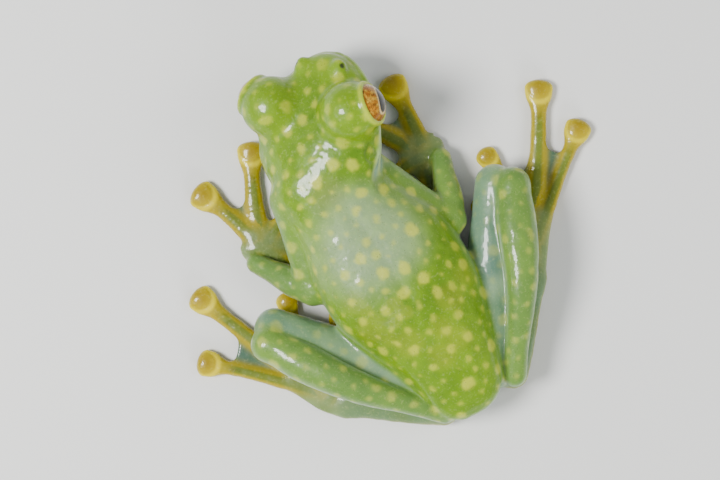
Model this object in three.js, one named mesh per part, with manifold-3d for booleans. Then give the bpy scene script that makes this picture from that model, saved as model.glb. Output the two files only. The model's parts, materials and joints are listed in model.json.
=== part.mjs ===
// A life-size glass frog, crouched flat with its legs folded and its fingers and toes spread.
// Millimetres, +Z up. The frog faces -Y and its left side is +X. It rests on the plane Z = 0.
import * as THREE from "three";
import { mergeVertices } from "three/addons/utils/BufferGeometryUtils.js";
import Module from "manifold-3d";

// Driving sizes, in millimetres and degrees.
const gap = 0.3; // kept between two pieces that meet
const headHalfWidth = 4.7; // across the corners of the jaw
const snoutReach = 5.0; // head's middle to the tip of the snout
const eyeRadius = 1.6;
const lidWall = 0.3;
const lidSetBack = 0.65;
const lidOpening = { along: 1.65, high: 1.45, deep: 1.2 }; // half sizes
const mouthLength = 8.0;
const mouthGap = 0.3;
const mouthDepth = 0.5;
const thighLength = 13.5;
const ankleLength = 8.3; // heel to the point where the toes begin to spread
const upperArmLength = 6.9;
const forearmLength = 5.0;
const palmReach = 1.1; // wrist to the middle of the palm
const webThickness = 0.5;
const digitHeight = 1.0;
const shortestEdge = 0.06;
const flattestTriangle = 0.012; // height of the flattest triangle kept
const underThigh = 1.35; // height of the thigh's outer half above the toes that lie under it

// Fingers I to IV and toes I to V: full length from the middle of the palm or the spread of the toes to
// the middle of the pad, free length beyond the web, half width of the shaft and of the pad.
const fingers = [
  { length: 5.2, free: 2.7, shaft: 0.78, pad: 0.94 },
  { length: 5.0, free: 2.6, shaft: 0.62, pad: 0.96 },
  { length: 7.5, free: 3.3, shaft: 0.7, pad: 1.08 },
  { length: 6.4, free: 2.7, shaft: 0.68, pad: 1.1 },
];
const toes = [
  { length: 4.17, free: 1.9, shaft: 0.44, pad: 0.6 },
  { length: 5.96, free: 2.3, shaft: 0.5, pad: 0.74 },
  { length: 8.66, free: 2.6, shaft: 0.56, pad: 0.82 },
  { length: 12.9, free: 3.7, shaft: 0.66, pad: 1.06 },
  { length: 10.6, free: 2.3, shaft: 0.56, pad: 1.0 },
];

// The pose. A heading is the angle from straight ahead, positive towards the frog's left.
// A bend is how far a digit turns from its root to its tip, and a reach is its share of the full length.
const pose = {
  right: {
    hip: [-1.0, 0.4, 1.6],
    thigh: { heading: -33.2, rise: 4.3 },
    heel: [-2.2, -1.0],
    ankle: -40.2,
    toeHeadings: [25, 9, -10.2, -35.3, -52.3],
    toeBends: [24, 30, 45, 8, -4],
    toeReach: [0.78, 0.94, 1, 1, 1],
    toeWebs: [[0.4, 0.4], [0.66, 0.6], [0.72, 0.72], [0.72, 0.82]],
    shoulder: [-1.5, 17.2, 4.3],
    upperArm: { heading: -155.6, rise: -10 },
    forearm: { heading: -23, rise: -22 },
    palm: 48,
    fingerHeadings: [160, 93.4, 31.1, -6.5],
    fingerBends: [8, 28, 0, 8],
    fingerReach: [1, 0.86, 0.96, 0.92],
  },
  left: {
    hip: [2.9, 0.4, 1.6],
    thigh: { heading: 36.2, rise: 4.3 },
    heel: [3.6, -0.6],
    ankle: 50.5,
    toeHeadings: [-70.2, -36.8, -6.5, 21.5, 43.6],
    toeBends: [-8, -8, -20, -6, 6],
    toeReach: [1, 1, 0.9, 0.94, 0.91],
    toeWebs: [[0.4, 0.4], [0.64, 0.6], [0.45, 0.45], [0.72, 0.82]],
    shoulder: [5.3, 18.5, 4.3],
    upperArm: { heading: 165, rise: -10 },
    forearm: { heading: 32, rise: -22 },
    palm: -60,
    fingerHeadings: [-163, -70, -24.8, 16.4],
    fingerBends: [-17, -27, -16, 16],
    fingerReach: [0.87, 1, 1, 0.98],
  },
};
const headPose = { middle: [-0.25, 21.85, 4.3], turn: -37.5, roll: 28, pitch: 3 };

const colours = {
  back: 0x8fae3c,
  limb: 0x8a9a5a,
  thigh: 0x86a08a,
  digit: 0xc9a21c,
  iris: 0xc79a4b,
};

// A place given as distances to the frog's left, ahead of the hips and above the floor.
const at = (left, ahead, up) => new THREE.Vector3(left, -ahead, up);
const radians = THREE.MathUtils.degToRad;
const sideways = new THREE.Vector3(1, 0, 0);
const upwards = new THREE.Vector3(0, 0, 1);

function step(from, length, heading, rise = 0) {
  const flat = length * Math.cos(radians(rise));
  const left = flat * Math.sin(radians(heading));
  const ahead = flat * Math.cos(radians(heading));
  return at(left, ahead, length * Math.sin(radians(rise))).add(from);
}

// A smooth curve of values through [where, value] stops.
function profile(stops) {
  const slope = (i) => {
    const a = stops[Math.max(i - 1, 0)];
    const b = stops[Math.min(i + 1, stops.length - 1)];
    return (b[1] - a[1]) / (b[0] - a[0]);
  };
  return (where) => {
    let i = 0;
    while (i < stops.length - 2 && where > stops[i + 1][0]) i += 1;
    const [x0, y0] = stops[i];
    const [x1, y1] = stops[i + 1];
    const span = x1 - x0;
    const t = THREE.MathUtils.clamp((where - x0) / span, 0, 1);
    const t2 = t * t;
    const t3 = t2 * t;
    return (
      (2 * t3 - 3 * t2 + 1) * y0 +
      (t3 - 2 * t2 + t) * span * slope(i) +
      (3 * t2 - 2 * t3) * y1 +
      (t3 - t2) * span * slope(i + 1)
    );
  };
}

// Solids

const wasm = await Module();
wasm.setup();

function solid(geometry) {
  const bare = geometry.index ? geometry.toNonIndexed() : geometry.clone();
  bare.deleteAttribute("normal");
  bare.deleteAttribute("uv");
  const merged = mergeVertices(bare, 1e-4);
  const vertProperties = new Float32Array(merged.attributes.position.array);
  const triVerts = new Uint32Array(merged.index.array);
  const made = new wasm.Manifold(new wasm.Mesh({ numProp: 3, vertProperties, triVerts }));
  if (made.volume() > 0) return made;
  for (let i = 0; i < triVerts.length; i += 3) {
    [triVerts[i + 1], triVerts[i + 2]] = [triVerts[i + 2], triVerts[i + 1]];
  }
  return new wasm.Manifold(new wasm.Mesh({ numProp: 3, vertProperties, triVerts }));
}

function join(solids) {
  return solids.reduce((all, one) => all.add(one));
}

function largest(body) {
  return body.decompose().reduce((best, one) => (one.volume() > best.volume() ? one : best));
}

// A closed mesh with its shortest edges shrunk to a point and its flattest triangles' long edges turned.
function evened(positions, corners) {
  const points = [];
  for (let i = 0; i < positions.length; i += 3) points.push(new THREE.Vector3().fromArray(positions, i));
  let triangles = [];
  for (let i = 0; i < corners.length; i += 3) triangles.push([...corners.slice(i, i + 3)]);
  const normal = ([a, b, c]) => {
    const ab = points[b].clone().sub(points[a]);
    return ab.cross(points[c].clone().sub(points[a]));
  };
  const sound = (triangle, old) => {
    const now = normal(triangle);
    return now.length() > 1e-5 && (old.length() < 1e-4 || now.dot(old) > 0.2 * now.length() * old.length());
  };
  for (let pass = 0; pass < 30; pass += 1) {
    const fans = points.map(() => []);
    triangles.forEach((t, i) => t.forEach((v) => fans[v].push(i)));
    const touched = new Set();
    const near = (v) => new Set(fans[v].flatMap((i) => triangles[i]).filter((other) => other !== v));
    const busy = (list) => list.some((v) => touched.has(v));
    const gone = new Set();
    let changes = 0;
    triangles.forEach((t, i) => {
      if (gone.has(i) || busy(t)) return;
      const lengths = t.map((v, k) => points[v].distanceTo(points[t[(k + 1) % 3]]));
      const k = lengths.indexOf(Math.min(...lengths));
      let [keep, drop] = [t[k], t[(k + 1) % 3]];
      if (lengths[k] < shortestEdge) {
        if (points[drop].z < points[keep].z) [keep, drop] = [drop, keep];
        const around = near(drop);
        const shared = [...near(keep)].filter((v) => around.has(v));
        if (shared.length !== 2 || busy([keep, drop, ...around])) return;
        const moved = fans[drop].filter((j) => !triangles[j].includes(keep));
        const after = moved.map((j) => triangles[j].map((v) => (v === drop ? keep : v)));
        if (!after.every((one, j) => sound(one, normal(triangles[moved[j]])))) return;
        fans[drop].filter((j) => triangles[j].includes(keep)).forEach((j) => gone.add(j));
        moved.forEach((j, n) => (triangles[j] = after[n]));
        [keep, drop, ...around].forEach((v) => touched.add(v));
        changes += 1;
        return;
      }
      const long = lengths.indexOf(Math.max(...lengths));
      if (normal(t).length() / lengths[long] > flattestTriangle) return;
      const [u, v, apex] = [t[long], t[(long + 1) % 3], t[(long + 2) % 3]];
      const j = fans[u].find((other) => other !== i && !gone.has(other) && triangles[other].includes(v));
      const across = triangles[j].find((one) => one !== u && one !== v);
      if (busy([u, v, apex, across]) || near(apex).has(across)) return;
      const pair = [[u, across, apex], [across, v, apex]];
      const old = normal(triangles[j]);
      if (!pair.every((one) => sound(one, old))) return;
      [triangles[i], triangles[j]] = pair;
      [u, v, apex, across].forEach((one) => touched.add(one));
      changes += 1;
    });
    triangles = triangles.filter((_, i) => !gone.has(i));
    if (changes === 0) break;
  }
  const used = [...new Set(triangles.flat())];
  const index = new Map(used.map((v, i) => [v, i]));
  const numbered = triangles.map((t) => t.map((v) => index.get(v)));
  return { points: used.map((v) => points[v]), triangles: numbered };
}

// A closed surface through rings of points, with a point or a flat face at each end.
function skinned(rings) {
  const sides = rings[0].length;
  const positions = rings.flat().flatMap((p) => [p.x, p.y, p.z]);
  const index = [];
  for (let i = 0; i + 1 < rings.length; i += 1) {
    for (let k = 0; k < sides; k += 1) {
      const a = i * sides + k;
      const b = i * sides + ((k + 1) % sides);
      index.push(a, b, a + sides, b, b + sides, a + sides);
    }
  }
  for (const [ring, first] of [[rings[0], 0], [rings[rings.length - 1], (rings.length - 1) * sides]]) {
    const middle = ring.reduce((sum, p) => sum.clone().add(p), new THREE.Vector3()).divideScalar(sides);
    const pole = positions.length / 3;
    positions.push(middle.x, middle.y, middle.z);
    for (let k = 0; k < sides; k += 1) {
      const a = first + k;
      const b = first + ((k + 1) % sides);
      if (first === 0) index.push(b, a, pole);
      else index.push(a, b, pole);
    }
  }
  const geometry = new THREE.BufferGeometry();
  geometry.setAttribute("position", new THREE.Float32BufferAttribute(positions, 3));
  geometry.setIndex(index);
  return geometry;
}

// One ring: half widths to the side, up and down, with a squareness of 2 for an ellipse.
function ring(middle, side, up, size, sides, floor) {
  const { width, top, bottom, topSquare = 2, bottomSquare = 2 } = size;
  return Array.from({ length: sides }, (_, k) => {
    const angle = (2 * Math.PI * (k + 0.5)) / sides;
    const c = Math.cos(angle);
    const s = Math.sin(angle);
    const power = 2 / (s > 0 ? topSquare : bottomSquare);
    const across = Math.sign(c) * Math.abs(c) ** power * width;
    const rise = Math.sign(s) * Math.abs(s) ** power * (s > 0 ? top : bottom);
    const p = middle.clone().addScaledVector(side, across).addScaledVector(up, rise);
    p.z = Math.max(p.z, floor);
    return p;
  });
}

// A limb along a path, with half width and half height by share of the way and round ends past the path.
// Its underside is flat wherever it would pass below the height it rests at.
function limb(shape) {
  const { path, width, height, rest = () => 0, sides = 12, rings = 7, grow = 0 } = shape;
  const { from = 0, to = 1, roundStart = true, roundEnd = true } = shape;
  const curve = new THREE.CatmullRomCurve3(path, false, "centripetal");
  const capSteps = [76, 48, 20];
  const made = [];
  const add = (share, push, scale) => {
    const middle = curve.getPointAt(share);
    const ahead = curve.getTangentAt(share);
    const side = upwards.clone().cross(ahead).normalize();
    const up = ahead.clone().cross(side);
    const wide = (width(share) + grow) * scale;
    const high = (height(share) + grow) * scale;
    const size = { width: wide, top: high, bottom: high };
    const floor = Math.max(0, rest(share)) - grow;
    made.push(ring(middle.addScaledVector(ahead, push), side, up, size, sides, floor));
  };
  const capReach = (share) => Math.min(width(share), height(share) * 1.25) + grow;
  const cap = (share, a) => add(share, capReach(share) * Math.sin(a), Math.cos(a));
  if (roundStart) for (const a of capSteps) cap(from, radians(-a));
  for (let i = 0; i < rings; i += 1) add(from + ((to - from) * i) / (rings - 1), 0, 1);
  if (roundEnd) for (const a of [...capSteps].reverse()) cap(to, radians(a));
  return solid(skinned(made));
}

// Torso

const torsoStations = [
  -1.9, -1.75, -1.3, -0.5, 0.8, 2.4, 4.2, 6.2, 8.4, 10.6, 12.6, 14.2, 15.8, 17.6, 19.2, 20.4, 21,
];
const torsoMiddle = profile([
  [-1.9, 1.4], [3, 1.1], [6, 1.2], [9, 1.4], [12, 1.4], [15, 1.7], [17.5, 2.05], [19.5, 2.1], [21, 1.5],
]);
const torsoHalfWidth = profile([
  [-1.9, 0.7], [-1.75, 1.3], [-1.3, 2.1], [-0.5, 2.7], [1, 3.2], [3, 3.9], [6, 4.9], [9, 5.5],
  [12, 5.3], [15, 4.3], [17.5, 3.9], [19, 3.8], [20.2, 2.9], [21, 1.5],
]);
const torsoTop = profile([
  [-1.9, 3.8], [-1.75, 4.1], [-1.3, 4.6], [-0.5, 5.1], [1, 5.7], [3, 6.2], [6, 6.8], [9, 7.1],
  [12, 7.2], [15, 7.2], [19, 7.3], [21, 6.2],
]);
const torsoBottom = profile([
  [-1.9, 3.1], [-1.3, 2.8], [-0.5, 2.6], [0.6, 2.2], [1.6, 1.2], [3, 0.3], [5, -0.1], [9, -0.3],
  [12.5, -0.2], [14, 0.7], [15.2, 1.5], [17.5, 2.0], [19, 2.4], [21, 4.2],
]);
// Height of the widest line.
const torsoWidest = profile([
  [-1.9, 3.5], [0.6, 3.4], [3, 3.1], [9, 3.5], [15, 4.0], [19, 4.6], [21, 5.2],
]);

function torsoBody() {
  const rings = torsoStations.map((ahead) => {
    const size = {
      width: torsoHalfWidth(ahead),
      top: torsoTop(ahead) - torsoWidest(ahead),
      bottom: torsoWidest(ahead) - torsoBottom(ahead),
      topSquare: 2.2,
      bottomSquare: 1.75,
    };
    const middle = at(torsoMiddle(ahead), ahead, torsoWidest(ahead));
    return ring(middle, sideways, upwards, size, 20, 0);
  });
  return solid(skinned(rings));
}

// Head, in its own frame: ahead along -Y, left along +X, mouth line at Z = 0

const headHalf = profile([
  [-6, 0.5], [-4.6, 0.8], [-3.2, 0.95], [-2, 1.0], [0, 0.94], [1.5, 0.84], [3, 0.68], [4, 0.5],
  [4.7, 0.3], [5, 0.12],
]);
const headTop = profile([
  [-6, 1.4], [-4.6, 2.4], [-3.2, 2.95], [-2, 3.1], [0, 3.0], [1.5, 2.75], [3, 2.4], [4.2, 2.0],
  [4.8, 1.4], [5, 0.7],
]);
const headBottom = profile([[-6, 1.9], [-3, 1.9], [-1, 1.75], [1, 1.5], [3, 1.1], [4.2, 0.7], [5, 0.3]]);
const eyePlace = { ahead: 0.9, out: 3.85, up: 2.45 };
const eyeAxis = { heading: 66, rise: 0 };
const nostrilPlace = { ahead: 3.75, out: 1.5, up: 1.85 };

const headMatrix = new THREE.Matrix4()
  .makeTranslation(at(...headPose.middle))
  .multiply(new THREE.Matrix4().makeRotationZ(radians(headPose.turn)))
  .multiply(new THREE.Matrix4().makeRotationY(radians(headPose.roll)))
  .multiply(new THREE.Matrix4().makeRotationX(radians(headPose.pitch)));

const eyeMiddle = (sign) => at(sign * eyePlace.out, eyePlace.ahead, eyePlace.up);
const eyeLook = (sign) => step(new THREE.Vector3(), 1, sign * eyeAxis.heading, eyeAxis.rise);

function ball(middle, radius, scale = [1, 1, 1], detail = [16, 10]) {
  const geometry = new THREE.SphereGeometry(radius, ...detail);
  geometry.scale(...scale);
  return solid(geometry.translate(middle.x, middle.y, middle.z));
}

function slab(size, middle, turn = [0, 0, 0]) {
  const geometry = new THREE.BoxGeometry(...size);
  geometry.applyMatrix4(new THREE.Matrix4().makeRotationFromEuler(new THREE.Euler(...turn.map(radians))));
  return solid(geometry.translate(middle.x, middle.y, middle.z));
}

// The almond opening between the upper and the lower lid.
function lidCut(sign) {
  const geometry = new THREE.SphereGeometry(1, 16, 10);
  geometry.scale(lidOpening.along, lidOpening.deep, lidOpening.high);
  geometry.rotateX(radians(-eyeAxis.rise));
  geometry.rotateZ(radians(sign * eyeAxis.heading));
  const middle = eyeMiddle(sign).addScaledVector(eyeLook(sign), eyeRadius);
  return solid(geometry.translate(middle.x, middle.y, middle.z));
}

// The head without its eyes, lips and nostrils, drawn in all round by the inset.
function skull(inset = 0) {
  const stations = [-6, -4.6, -3.2, -1.8, -0.4, 1, 2, 2.9, 3.6, 4.2, 4.65, 4.9, snoutReach];
  const rings = stations.map((ahead) => {
    const size = {
      width: headHalf(ahead) * headHalfWidth - inset,
      top: headTop(ahead) - inset,
      bottom: headBottom(ahead) - inset * 0.5,
      topSquare: 2.3,
      bottomSquare: 2.1,
    };
    const shift = ahead - inset * Math.max(0, ahead / snoutReach);
    return ring(at(0, shift, 0), sideways, upwards, size, 24, -Infinity);
  });
  return solid(skinned(rings));
}

function headBody() {
  let body = skull();
  const mouth = slab([14, mouthLength, mouthGap], at(0, snoutReach - mouthLength / 2 + 0.2, -0.15));
  body = body.subtract(mouth.subtract(skull(mouthDepth)));
  for (const sign of [1, -1]) {
    const turret = eyeMiddle(sign).addScaledVector(eyeLook(sign), -lidSetBack);
    body = body.add(ball(turret, eyeRadius + gap + lidWall));
    body = body.subtract(ball(eyeMiddle(sign), eyeRadius + gap));
    body = body.subtract(lidCut(sign));
    const nostril = at(sign * nostrilPlace.out, nostrilPlace.ahead, nostrilPlace.up);
    body = body.add(ball(nostril, 0.65, [1, 1.3, 0.7], [8, 6]));
    const pit = nostril.clone().add(at(sign * 0.5, 0.25, 0.12));
    body = body.subtract(ball(pit, 0.18, [1, 1, 1], [6, 4]));
  }
  return body;
}

const pieces = new Map();

// Limbs

const thighWidth = profile([[0, 1.8], [0.3, 2.1], [0.65, 1.8], [0.9, 1.5], [1, 1.35]]);
const thighRest = profile([[0, 0], [0.45, 0], [0.62, underThigh], [1, underThigh]]);
const shankWidth = profile([[0, 1.2], [0.2, 1.4], [0.5, 1.2], [0.8, 0.85], [1, 0.85]]);
const ankleWidth = profile([[0, 1.1], [0.3, 1.3], [0.7, 1.35], [1, 1.5]]);
const upperArmWidth = profile([[0, 1.1], [0.4, 1.0], [1, 0.95]]);
const forearmWidth = profile([[0, 0.95], [0.35, 1.1], [0.75, 0.85], [1, 0.75]]);
const even = (value) => () => value;

// A digit's path from its root, turning steadily by its bend about the straight line to the pad.
function digitPath(root, digit, heading, bend, reach) {
  const steps = 4;
  const points = [root.clone()];
  for (let i = 1; i <= steps; i += 1) {
    const turned = heading + bend * ((i - 0.5) / steps - 0.5);
    points.push(step(points[i - 1], (digit.length * reach) / steps, turned));
  }
  points.forEach((p, i) => (p.z = digitHeight * (0.5 - 0.05 * (i / steps))));
  return points;
}

function digitShape(digit, path, length) {
  const neck = 1 - (digit.pad * 1.7) / length;
  const stops = [
    [0, digit.shaft * 1.1],
    [neck * 0.5, digit.shaft],
    [neck, digit.shaft * 0.92],
    [1 - (digit.pad * 0.6) / length, digit.pad * 0.93],
    [1, digit.pad],
  ];
  return { path, width: profile(stops), height: even(digitHeight * 0.5) };
}

// The digits' near parts belong to the palm or sole. The free parts beyond the web are pieces of their own.
function digits(root, list, headings, bends, reaches) {
  return list.map((digit, i) => {
    const length = digit.length * reaches[i];
    const path = digitPath(root, digit, headings[i], bends[i], reaches[i]);
    const shape = digitShape(digit, path, length);
    const split = 1 - digit.free / length;
    const near = limb({ ...shape, sides: 8, rings: 4, to: split, roundEnd: false });
    const far = limb({ ...shape, sides: 8, rings: 6, from: split + gap / length, roundStart: false });
    const farGrown = limb({ ...shape, sides: 8, rings: 5, from: split, roundStart: false, grow: gap });
    const grown = limb({ ...shape, sides: 8, rings: 5, grow: gap });
    const curve = new THREE.CatmullRomCurve3(path, false, "centripetal");
    return { near, far, farGrown, grown, curve, split, root: curve.getPointAt(split) };
  });
}

// A web between two digits, out to a share of each, with a free edge that sags towards the palm.
function web(root, a, b, [reachA, reachB], sag = 0.3) {
  const onA = a.curve.getPointAt(reachA);
  const onB = b.curve.getPointAt(reachB);
  const edge = onA.clone().add(onB).multiplyScalar(0.5).lerp(root, sag);
  const halfA = a.curve.getPointAt(reachA * 0.5);
  const halfB = b.curve.getPointAt(reachB * 0.5);
  const shape = new THREE.Shape();
  shape.moveTo(root.x, root.y);
  shape.lineTo(halfA.x, halfA.y);
  shape.lineTo(onA.x, onA.y);
  shape.quadraticCurveTo(edge.x, edge.y, onB.x, onB.y);
  shape.lineTo(halfB.x, halfB.y);
  const sheet = { depth: webThickness, bevelEnabled: false, curveSegments: 5 };
  const geometry = new THREE.ExtrudeGeometry(shape, sheet);
  return solid(geometry.translate(0, 0, 0.2));
}

const webSags = [0.3, 0.3, 0.25, 0.12];

function arm(side) {
  const p = pose[side];
  const shoulder = at(...p.shoulder);
  const elbow = step(shoulder, upperArmLength, p.upperArm.heading, p.upperArm.rise);
  const wrist = step(elbow, forearmLength, p.forearm.heading, p.forearm.rise);
  const palm = step(wrist, palmReach, p.palm).setZ(0.55);
  const hand = digits(palm, fingers, p.fingerHeadings, p.fingerBends, p.fingerReach);
  const heel = palm.clone().lerp(wrist, 0.6).setZ(0.55);
  const front = palm.clone().lerp(hand[2].curve.getPointAt(0.5), 0.35).setZ(0.5);
  const palmShape = {
    path: [heel, palm, front],
    width: profile([[0, 1.5], [0.5, 1.75], [1, 1.2]]),
    height: even(0.55),
    sides: 12,
    rings: 4,
  };
  const webs = [
    web(palm, hand[2], hand[3], [0.62, 0.66], 0.25),
    web(palm, hand[1], hand[2], [0.48, 0.42]),
    web(palm, hand[0], hand[1], [0.5, 0.45]),
  ];
  const freeFingers = join(hand.map((d) => d.farGrown));
  const handBody = join([limb(palmShape), ...hand.map((d) => d.near), ...webs]).subtract(freeFingers);
  const handGrown = join([limb({ ...palmShape, grow: gap }), ...hand.map((d) => d.grown)]);
  const upper = {
    path: [shoulder, shoulder.clone().lerp(elbow, 0.5), elbow],
    width: upperArmWidth,
    height: upperArmWidth,
    sides: 10,
    rings: 6,
  };
  const fore = {
    path: [elbow, elbow.clone().lerp(wrist, 0.5), wrist],
    width: forearmWidth,
    height: forearmWidth,
    sides: 10,
    rings: 6,
  };
  const upperGrown = limb({ ...upper, grow: gap });
  const forearm = limb(fore).subtract(upperGrown).subtract(handGrown);
  pieces.set(`upper_arm_${side}`, { body: limb(upper), colour: colours.limb, pivot: shoulder });
  pieces.set(`forearm_${side}`, { body: forearm, colour: colours.limb, pivot: elbow });
  pieces.set(`hand_${side}`, { body: handBody, colour: colours.digit, pivot: palm });
  hand.forEach((d, i) => {
    pieces.set(`finger_${i + 1}_${side}`, { body: d.far, colour: colours.digit, pivot: d.root });
  });
  return [upperGrown, limb({ ...fore, grow: gap })];
}

function leg(side) {
  const p = pose[side];
  const outward = side === "left" ? 1 : -1;
  const hip = at(...p.hip);
  const knee = step(hip, thighLength, p.thigh.heading, p.thigh.rise);
  const heel = at(p.heel[0], p.heel[1], 0.95);
  const kneeOut = step(knee, 1.3, p.thigh.heading + outward * 95).setZ(3.7);
  const shankEnd = heel.clone().setZ(2.85);
  const shankMiddle = kneeOut.clone().lerp(shankEnd, 0.5);
  shankMiddle.add(step(new THREE.Vector3(), 0.5, p.thigh.heading + outward * 90)).setZ(4.5);
  const spread = step(heel, ankleLength, p.ankle).setZ(0.5);
  const foot = digits(spread, toes, p.toeHeadings, p.toeBends, p.toeReach);
  const fork = foot[3].curve.getPointAt(0.3).add(foot[4].curve.getPointAt(0.3)).multiplyScalar(0.5);
  const thigh = {
    path: [hip, hip.clone().lerp(knee, 0.5), knee],
    width: thighWidth,
    height: thighWidth,
    rest: thighRest,
    sides: 14,
    rings: 8,
  };
  const shank = {
    path: [kneeOut, shankMiddle, shankEnd],
    width: shankWidth,
    height: shankWidth,
    sides: 12,
    rings: 8,
  };
  const ankle = {
    path: [heel, heel.clone().lerp(spread, 0.5), spread],
    width: ankleWidth,
    height: profile([[0, 0.95], [0.6, 0.8], [1, 0.5]]),
    to: 0.72,
    sides: 12,
    rings: 5,
  };
  const soleShape = {
    path: [step(heel, ankleLength * 0.8, p.ankle).setZ(0.55), spread, fork],
    width: profile([[0, 1.15], [0.3, 1.35], [1, 0.95]]),
    height: even(0.5),
    sides: 12,
    rings: 5,
  };
  const webs = p.toeWebs.map((reach, i) => web(spread, foot[i], foot[i + 1], reach, webSags[i]));
  const freeToes = join(foot.map((d) => d.farGrown));
  const soleBody = join([limb(soleShape), ...foot.map((d) => d.near), ...webs]).subtract(freeToes);
  const soleGrown = limb({ ...soleShape, grow: gap });
  const thighGrown = limb({ ...thigh, grow: gap });
  const shankGrown = limb({ ...shank, grow: gap });
  const ankleBody = limb(ankle).subtract(thighGrown).subtract(shankGrown).subtract(soleGrown);
  const underfoot = join([soleGrown, ...foot.slice(0, 3).map((d) => d.grown)]);
  const thighBody = limb(thigh).subtract(underfoot);
  pieces.set(`thigh_${side}`, { body: thighBody, colour: colours.thigh, pivot: hip });
  const shankBody = limb(shank).subtract(thighGrown);
  pieces.set(`shank_${side}`, { body: shankBody, colour: colours.limb, pivot: knee });
  pieces.set(`ankle_${side}`, { body: ankleBody, colour: colours.limb, pivot: heel });
  pieces.set(`foot_${side}`, { body: soleBody, colour: colours.limb, pivot: spread });
  foot.forEach((d, i) => {
    pieces.set(`toe_${i + 1}_${side}`, { body: d.far, colour: colours.digit, pivot: d.root });
  });
  return [thighGrown, shankGrown];
}

// The torso and head are one form, cleared round the limbs and parted by a thin cut across the neck.
const limbsGrown = join([...arm("left"), ...arm("right"), ...leg("left"), ...leg("right")]);
const neckSlab = slab([16, gap, 16], at(1.5, 18.9, 5), [4, 0, -14]);
const headWhole = headBody().transform(headMatrix.elements);
const [torso, head] = torsoBody()
  .add(headWhole)
  .subtract(neckSlab)
  .subtract(limbsGrown)
  .decompose()
  .sort((a, b) => b.volume() - a.volume());
pieces.set("torso", { body: torso, colour: colours.back, pivot: at(1, 8, 3.5) });
pieces.set("head", { body: head, colour: colours.back, pivot: at(...headPose.middle) });
for (const [side, sign] of [["left", 1], ["right", -1]]) {
  const middle = eyeMiddle(sign).applyMatrix4(headMatrix);
  const body = ball(middle, eyeRadius, [1, 1, 1], [20, 12]);
  pieces.set(`eye_${side}`, { body, colour: colours.iris, pivot: middle });
}

// The scene graph. The part's origin lies on the floor under the middle of the whole frog.

const frog = new THREE.Group();
for (const [name, { body, colour, pivot }] of pieces) {
  const mesh = new THREE.Mesh(
    geometryOf(largest(body), pivot),
    new THREE.MeshStandardMaterial({ color: colour, roughness: 0.3, metalness: 0 }),
  );
  mesh.name = name;
  mesh.position.copy(pivot);
  frog.add(mesh);
}

function geometryOf(body, pivot) {
  const mesh = body.getMesh();
  const { points, triangles } = evened(mesh.vertProperties, mesh.triVerts);
  const geometry = new THREE.BufferGeometry();
  geometry.setFromPoints(points);
  geometry.setIndex(triangles.flat());
  geometry.translate(-pivot.x, -pivot.y, -pivot.z);
  return geometry;
}

frog.updateMatrixWorld(true);
const box = new THREE.Box3().setFromObject(frog, true);
const middle = box.getCenter(new THREE.Vector3());
frog.position.set(-middle.x, -middle.y, -box.min.z);

const model = new THREE.Group();
model.add(frog);

export default model;
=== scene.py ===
# Dresses the glass frog: one skin over the whole body, two eyes, a pale floor, soft lights and the camera.
import itertools
import json
import math

import bpy
import numpy as np
import openvdb
from mathutils import Matrix, Vector

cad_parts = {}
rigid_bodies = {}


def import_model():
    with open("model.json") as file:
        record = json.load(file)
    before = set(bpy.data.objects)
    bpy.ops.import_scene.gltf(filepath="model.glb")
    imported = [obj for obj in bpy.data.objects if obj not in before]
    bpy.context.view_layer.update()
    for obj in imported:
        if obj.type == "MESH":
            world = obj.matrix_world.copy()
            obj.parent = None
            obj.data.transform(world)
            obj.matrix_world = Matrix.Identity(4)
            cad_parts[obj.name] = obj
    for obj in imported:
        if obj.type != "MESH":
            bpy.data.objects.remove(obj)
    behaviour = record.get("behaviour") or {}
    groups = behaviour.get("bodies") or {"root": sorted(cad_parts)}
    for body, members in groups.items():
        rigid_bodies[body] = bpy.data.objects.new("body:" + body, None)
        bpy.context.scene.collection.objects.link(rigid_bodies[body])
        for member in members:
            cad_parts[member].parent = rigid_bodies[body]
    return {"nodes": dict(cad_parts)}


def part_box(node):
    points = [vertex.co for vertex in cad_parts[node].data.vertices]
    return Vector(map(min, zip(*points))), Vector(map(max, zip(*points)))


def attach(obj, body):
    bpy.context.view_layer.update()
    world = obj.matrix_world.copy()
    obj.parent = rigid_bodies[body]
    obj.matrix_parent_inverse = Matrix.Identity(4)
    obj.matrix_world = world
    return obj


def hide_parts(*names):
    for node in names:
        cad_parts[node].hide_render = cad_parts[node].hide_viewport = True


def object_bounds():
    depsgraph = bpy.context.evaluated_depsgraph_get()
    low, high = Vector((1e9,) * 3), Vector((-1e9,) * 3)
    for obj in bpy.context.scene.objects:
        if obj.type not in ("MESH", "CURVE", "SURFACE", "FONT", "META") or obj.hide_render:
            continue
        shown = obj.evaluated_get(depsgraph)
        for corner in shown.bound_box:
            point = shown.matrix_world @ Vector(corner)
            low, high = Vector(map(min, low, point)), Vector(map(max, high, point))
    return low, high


for old in list(bpy.data.objects):
    bpy.data.objects.remove(old)
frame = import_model()
cad_low, cad_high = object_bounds()

# Distances are in millimetres and angles in degrees. A place is given as left, ahead and up.

# The grid's step, how far from a form its distances are known, and the grid's room round the body
VOXEL = 0.1
BAND = 1.0
GRID_MARGIN = 0.6

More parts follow.
